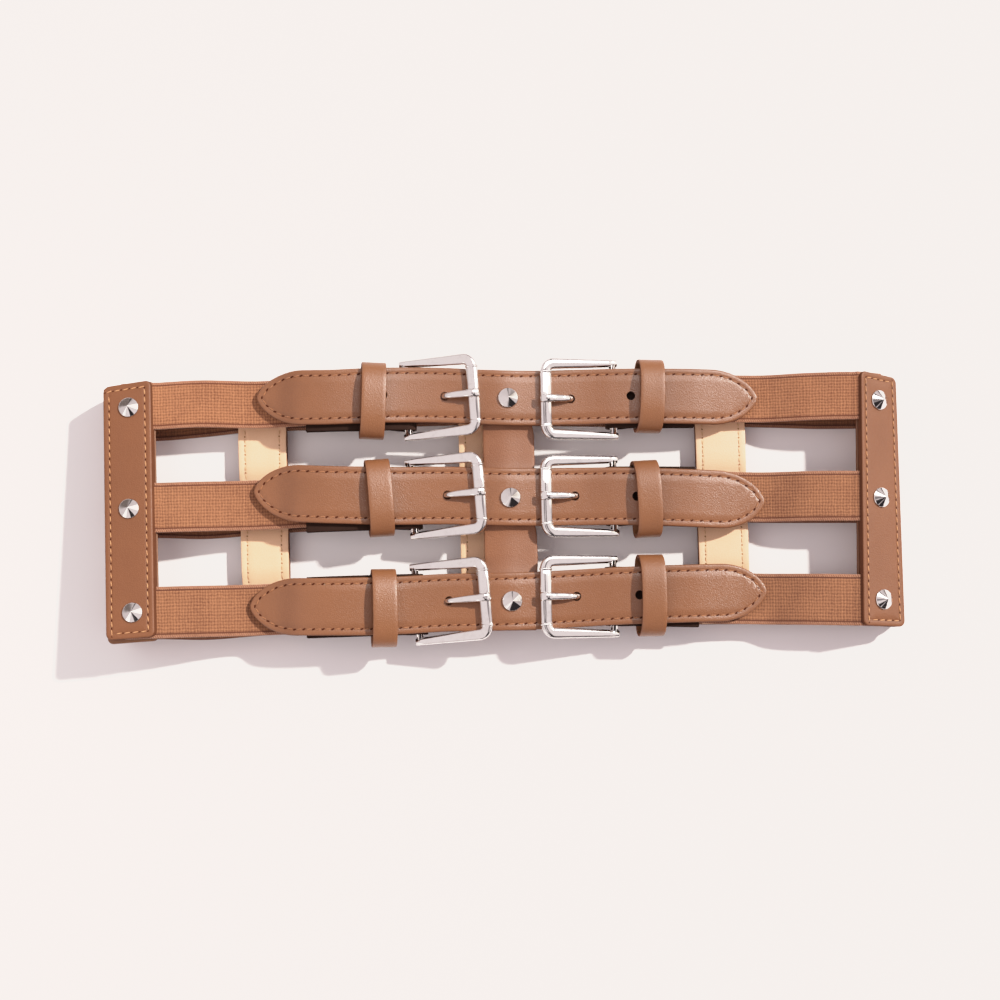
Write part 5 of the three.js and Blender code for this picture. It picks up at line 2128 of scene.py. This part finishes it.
@dataclass
class BackStrip:
    """An upright strip of the back, face down, with its cream lining on top.

    It leans to the left at its top by the slant, and its lining bulges up between the rows.
    """

    end: str
    x: float
    slant: float
    seam_shift: float
    bulge: float
    width: float = 21.6
    tall: float = 110.0
    middle_y: float = -2.4
    face_thick: float = 3.3
    lining_thick: float = 1.2
    foot_trim: float = 2.2
    seam_inset: float = 2.9
    seam_end: float = 2.5
    seam_pitch: float = 3.9

    def _placing(self, top: float, bulge: float = 0.0) -> Mapping:
        """Leans the flat strip and lifts it.

        Args:
            top: the height of its top face.
            bulge: how far it stands up between the rows.

        Returns:
            The mapping from a point of the straight strip to its place on the belt.
        """

        def place(point: Vector) -> Vector:
            """Puts a point of the straight strip onto the belt."""
            x, y = point.x + self.x - self.slant * point.y / (self.tall / 2), point.y + self.middle_y
            return SETTLING.move(Vector((x, y, point.z + top + bulge * between_rows(y))))

        return place

    def build(self) -> None:
        """Makes the strip, its lining and both faces of its seams."""
        outline = RoundedOblong(self.width, self.tall - self.foot_trim, 1.2, (0.0, self.foot_trim / 2))
        cuts = tuple(spread(-self.tall / 2, self.tall / 2, 4.0)[1:-1])
        name, node = f"back_strip_{self.end}", f"back_strip_lining_{self.end}"
        face = Slab(outline, self.face_thick, edge_radius=0.7, step=3.6, across_cuts=cuts)
        lining = Slab(
            outline, self.lining_thick, edge_radius=0.3, seam_inset=self.seam_inset, seam_depth=0.1,
            step=3.6, across_cuts=cuts,
        )
        flat = self._placing(self.face_thick)
        lifted = self._placing(self.face_thick + SIZES.gap + self.lining_thick, self.bulge)
        SHOP.piece(face.build(), f"{name}_leather", (STRIP_LEATHER, STRAP_EDGE), (name,), flat)
        SHOP.piece(lining.build(), f"{node}_leather", (CREAM_LINING, LINING_EDGE), (node,), lifted)
        seams = bmesh.new()
        under = bmesh.new()
        inset = self.width / 2 - self.seam_inset
        low, high = self.foot_trim + self.seam_end - self.tall / 2, self.tall / 2 - self.seam_end
        small = {"thread_length": 2.2, "thread_width": 0.42, "hole": (0.4, 0.3)}
        for x in (-inset, inset - self.seam_shift):
            line = [(x, low), (x, high)]
            absorb(seams, Seam(line, self.seam_pitch, height=-0.1, **small).build())
            absorb(under, Seam(line, self.seam_pitch, height=0.0, downwards=True, **small).build())
        SHOP.piece(seams, f"{node}_seams", (TAN_THREAD, LINING_PRICK_SHADE), (), lifted)
        SHOP.piece(under, f"{name}_seams", (ORANGE_THREAD, PRICK_SHADE), (), self._placing(0.0))


@dataclass
class CentreStrip:
    """The plain upright strip under the three straps, pressed to their line."""

    left: float = -9.2
    right: float = 14.1
    thick: float = 1.5
    tall: float = 110.0
    middle_y: float = -2.4
    slant: float = 1.5
    pinch: float = 1.2
    sag: float = 1.4
    foot_trim: float = 1.4

    def build(self) -> None:
        """Makes the strip and the studs that hold the straps to it."""
        middle = ((self.left + self.right) / 2, self.foot_trim / 2)
        outline = RoundedOblong(self.right - self.left, self.tall - self.foot_trim, 0.8, middle)
        cuts = tuple(spread(-self.tall / 2, self.tall / 2, 3.0)[1:-1])

        def place(point: Vector) -> Vector:
            """Puts a point of the flat strip under the straps, sagging and wider between them.

            Args:
                point: the point, with the strip's upper face at zero height.

            Returns:
                Its place on the belt.
            """
            free = between_rows(point.y + self.middle_y)
            across = (point.x - self.left) / (self.right - self.left)
            narrowing = (self.slant * (point.y / self.tall + 0.5) + self.pinch * (1 - free)) * across
            height = STRAP_HEIGHT.at(point.x) - SIZES.strap_thick / 2 - SIZES.gap - self.sag * free
            return SETTLING.move(Vector((point.x - narrowing, point.y + self.middle_y, point.z + height)))

        slab = Slab(outline, self.thick, edge_radius=0.45, step=1.6, across_cuts=cuts)
        finishes = (STRIP_LEATHER, STRAP_EDGE)
        SHOP.piece(slab.build(), "centre_strip_leather", finishes, ("centre_strip",), place)
        for plan in ROWS:
            x, y = plan.stud
            top = STRAP_HEIGHT.at(x) + SIZES.strap_thick / 2
            slope = STRAP_HEIGHT.angle(x)
            along = Vector((1, 0, math.tan(slope)))
            through = SIZES.strap_thick + SIZES.gap + self.thick
            Stud(f"stud_centre_{plan.number}", Vector((x, y, top)), along, through).build()


# Studio


@dataclass
class Studio:
    """The floor, the light and the camera."""

    elevation: float = 84.0
    distance: float = 850.0
    lens: float = 71.0
    sensor: float = 36.0
    image_size: float = 1000.0
    roll: float = 0.9
    target: tuple[float, float, float] = (0.0, 0.0, 12.0)
    image_point: tuple[float, float] = (505.0, 500.8)
    sun_azimuth: float = 30.5
    sun_elevation: float = 39.5
    sun_width: float = 2.5
    sun_strength: float = 5.4
    fill: Colour = (0.67, 0.61, 0.66, 1.0)
    side_fill: Colour = (1.2, 1.1, 1.2, 1.0)
    wall: Colour = (0.74, 0.68, 0.70, 1.0)
    wall_top: Colour = (0.95, 0.87, 0.90, 1.0)
    wall_foot: Colour = (0.2, 0.165, 0.155, 1.0)
    lens_hood: Colour = (0.25, 0.23, 0.24, 1.0)
    stand_black: Colour = (0.03, 0.027, 0.03, 1.0)
    near_window: Colour = (2.2, 2.06, 1.85, 1.0)
    far_window: Colour = (2.2, 2.15, 2.1, 1.0)
    film_tint: tuple[float, float, float] = (1.0, 0.96, 0.932)
    film_shoulder: tuple[tuple[float, float], ...] = (
        (0.5, 0.5), (0.72, 0.695), (0.9, 0.8), (1.05, 0.865), (1.2, 0.9), (1.6, 0.918),
    )

    def _camera(self) -> None:
        """Stands the camera where the photograph was taken from."""
        tilt = math.radians(self.elevation)
        ahead = Vector((0.0, math.cos(tilt), -math.sin(tilt)))
        right = Vector((1.0, 0.0, 0.0))
        up = right.cross(ahead)
        c, s = math.cos(math.radians(self.roll)), math.sin(math.radians(self.roll))
        right, up = c * right - s * up, s * right + c * up
        eye = Vector(self.target) - self.distance * ahead + SHOP.shift
        data = bpy.data.cameras.new("camera")
        data.lens = self.lens
        data.sensor_width = self.sensor
        data.shift_x = (self.image_size / 2 - self.image_point[0]) / self.image_size
        data.shift_y = (self.image_point[1] - self.image_size / 2) / self.image_size
        data.clip_start = 0.01
        camera = bpy.data.objects.new("camera", data)
        turn = Matrix((right, up, -ahead)).transposed().to_4x4()
        camera.matrix_world = Matrix.Translation(eye * MM) @ turn
        bpy.context.scene.collection.objects.link(camera)
        bpy.context.scene.camera = camera

    def _floor(self) -> None:
        """Lays the pale floor."""
        bm = bmesh.new()
        bmesh.ops.create_grid(bm, x_segments=8, y_segments=8, size=4.0)
        mesh = bpy.data.meshes.new("floor")
        bm.to_mesh(mesh)
        bm.free()
        paper = FloorPaper("floor_paper", "", colour(238, 234, 232), colour(234, 230, 228))
        mesh.materials.append(paper.material)
        floor = bpy.data.objects.new("floor", mesh)
        floor.location.z = -0.00005
        bpy.context.scene.collection.objects.link(floor)

    def _light(self) -> None:
        """Adds a sun from the upper right, a soft box that only shows as sheen, and the room."""
        azimuth, elevation = math.radians(self.sun_azimuth), math.radians(self.sun_elevation)
        level = Vector((math.cos(azimuth), math.sin(azimuth), 0.0)) * math.cos(elevation)
        towards = level + Vector((0.0, 0.0, math.sin(elevation)))
        data = bpy.data.lights.new("window", "SUN")
        data.energy = self.sun_strength
        data.angle = math.radians(self.sun_width)
        data.color = (1.0, 0.985, 0.96)
        sun = bpy.data.objects.new("window", data)
        sun.rotation_euler = towards.to_track_quat("Z", "Y").to_euler()
        bpy.context.scene.collection.objects.link(sun)
        above, below = Vector((195, 305, 500)), Vector((195, 305, 0))
        softbox = self._panel("softbox", above, below, (330.0, 260.0), 2.2)
        softbox.visible_diffuse = False
        aside, belt = Vector((-330, -60, 330)), Vector((-60, 0, 0))
        card = self._panel("card", aside, belt, (300.0, 300.0), 0.42)
        card.visible_glossy = False
        self._room()

    @staticmethod
    def _panel(
        name: str, spot: Vector, aim: Vector, size: tuple[float, float], power: float
    ) -> bpy.types.Object:
        """Adds an area light that the camera can't see.

        Args:
            name: the light's name.
            spot: its middle, in the belt's millimetres.
            aim: the place that it faces.
            size: its width and height.
            power: its power in watts.

        Returns:
            The light.
        """
        data = bpy.data.lights.new(name, "AREA")
        data.shape = "RECTANGLE"
        data.size, data.size_y = (side * MM for side in size)
        data.energy = power
        panel = bpy.data.objects.new(name, data)
        panel.location = (spot + SHOP.shift) * MM
        panel.rotation_euler = (spot - aim).to_track_quat("Z", "Y").to_euler()
        panel.visible_camera = False
        bpy.context.scene.collection.objects.link(panel)
        return panel

    def _film(self) -> None:
        """Gives the picture a plain response that eases off towards white, as a photograph has."""
        settings = bpy.context.scene.view_settings
        settings.view_transform = "Standard"
        settings.look = "None"
        settings.use_curve_mapping = True
        mapping = settings.curve_mapping
        mapping.white_level = (2.0, 2.0, 2.0)
        for channel, tint in enumerate(self.film_tint):
            shoulder = mapping.curves[channel].points
            shoulder[-1].location = (1.0, tint)
            for light, shown in self.film_shoulder:
                shoulder.new(light / 2, shown * tint)
        mapping.update()

    def _room(self) -> None:
        """Makes the room: an even pale light, and walls and windows that only sheen and metal mirror."""
        world = bpy.data.worlds.new("room")
        world.use_nodes = True
        bpy.context.scene.world = world
        desk = NodeDesk(world.node_tree)
        way = desk.node("ShaderNodeTexCoord").outputs["Generated"]
        parts = desk.node("ShaderNodeSeparateXYZ", None, {0: way})
        x, y, z = (Value(desk, parts.outputs[name]) for name in "XYZ")
        azimuth = desk.value("ShaderNodeMath", "Value", {"operation": "ARCTAN2"}, {0: y, 1: x})

        def patch(low: float, high: float, foot: float, head: float, soft: float = 2.0) -> Value:
            """Gives 1 inside a patch of the room, by azimuths and elevations in degrees.

            Args:
                low: the azimuth where it starts.
                high: the azimuth where it ends.
                foot: the elevation of its foot.
                head: the elevation of its head.
                soft: how soft its edges are.

            Returns:
                The patch as a mask.
            """
            left, right = math.radians(low), math.radians(high)
            lower, upper = math.sin(math.radians(foot)), math.sin(math.radians(head))
            edge = math.radians(soft)
            sides = azimuth.between(left - edge, left + edge)
            sides = sides * (1 - azimuth.between(right - edge, right + edge))
            ends = z.between(lower - edge, lower + edge) * (1 - z.between(upper - edge, upper + edge))
            return sides * ends

        walls = desk.mix(z.between(0.3, 0.75), self.wall, self.wall_top)
        walls = desk.mix(z.between(0.1, 0.24), self.wall_foot, walls)
        overhead = 1 - (x * x + (y + 0.05) * (y + 0.05)).between(0.008, 0.06)
        ceiling = desk.mix(overhead, walls, self.lens_hood)
        lean = math.radians(20)
        beam = 1 - abs(x * math.cos(lean) - z * math.sin(lean)).between(0.045, 0.08)
        stand = patch(-101.0, -25.0, -12.0, 31.0)
        screen = patch(-85.0, -48.0, 36.0, 75.0)
        dark = stand.most(screen).most(beam * 0.8)
        shaded = desk.mix(dark, ceiling, self.stand_black)
        window = desk.mix(patch(0.0, 40.0, 10.0, 50.0, 4.0), shaded, self.near_window)
        mirrored = desk.mix(patch(-145.0, -120.0, 18.0, 33.0), window, self.far_window)
        aside = (x * -0.95 + y * -0.3).between(-0.3, 0.8) * (1 - z.between(0.35, 0.9))
        even = desk.mix(aside, self.fill, self.side_fill)
        glossy = desk.value("ShaderNodeLightPath", "Is Glossy Ray")
        shown = desk.mix(glossy, even, mirrored)
        background = desk.node("ShaderNodeBackground", None, {"Color": shown})
        desk.node("ShaderNodeOutputWorld", None, {"Surface": background.outputs[0]})

    def build(self) -> None:
        """Makes the studio."""
        self._camera()
        self._floor()
        self._light()
        self._film()


def main() -> None:
    """Builds the studio and every sub-assembly, in order."""
    logging.basicConfig(level=logging.INFO, format="%(name)s: %(message)s")
    Studio().build()
    for plan in ROWS:
        Strap(plan).build()
        BackElastic(plan).build()
        for side in Side:
            FrontElastic(plan, side).build()
            Chape(plan, side).build()
            Keeper(plan, side).build()
            Buckle(plan, side).build()
    CentreStrip().build()
    for side in Side:
        EndTab(side).build()
    BackStrip("left", -104.6, slant=1.0, seam_shift=0.1, bulge=2.2, width=20.7).build()
    BackStrip("centre", SHOP.strip_middle[0], slant=0.3, seam_shift=0.0, bulge=1.4).build()
    BackStrip("right", 94.3, slant=0.2, seam_shift=0.0, bulge=1.6, foot_trim=3.4).build()
    log.info("%d pieces", len(SHOP.made))


if __name__ == "__main__":
    main()
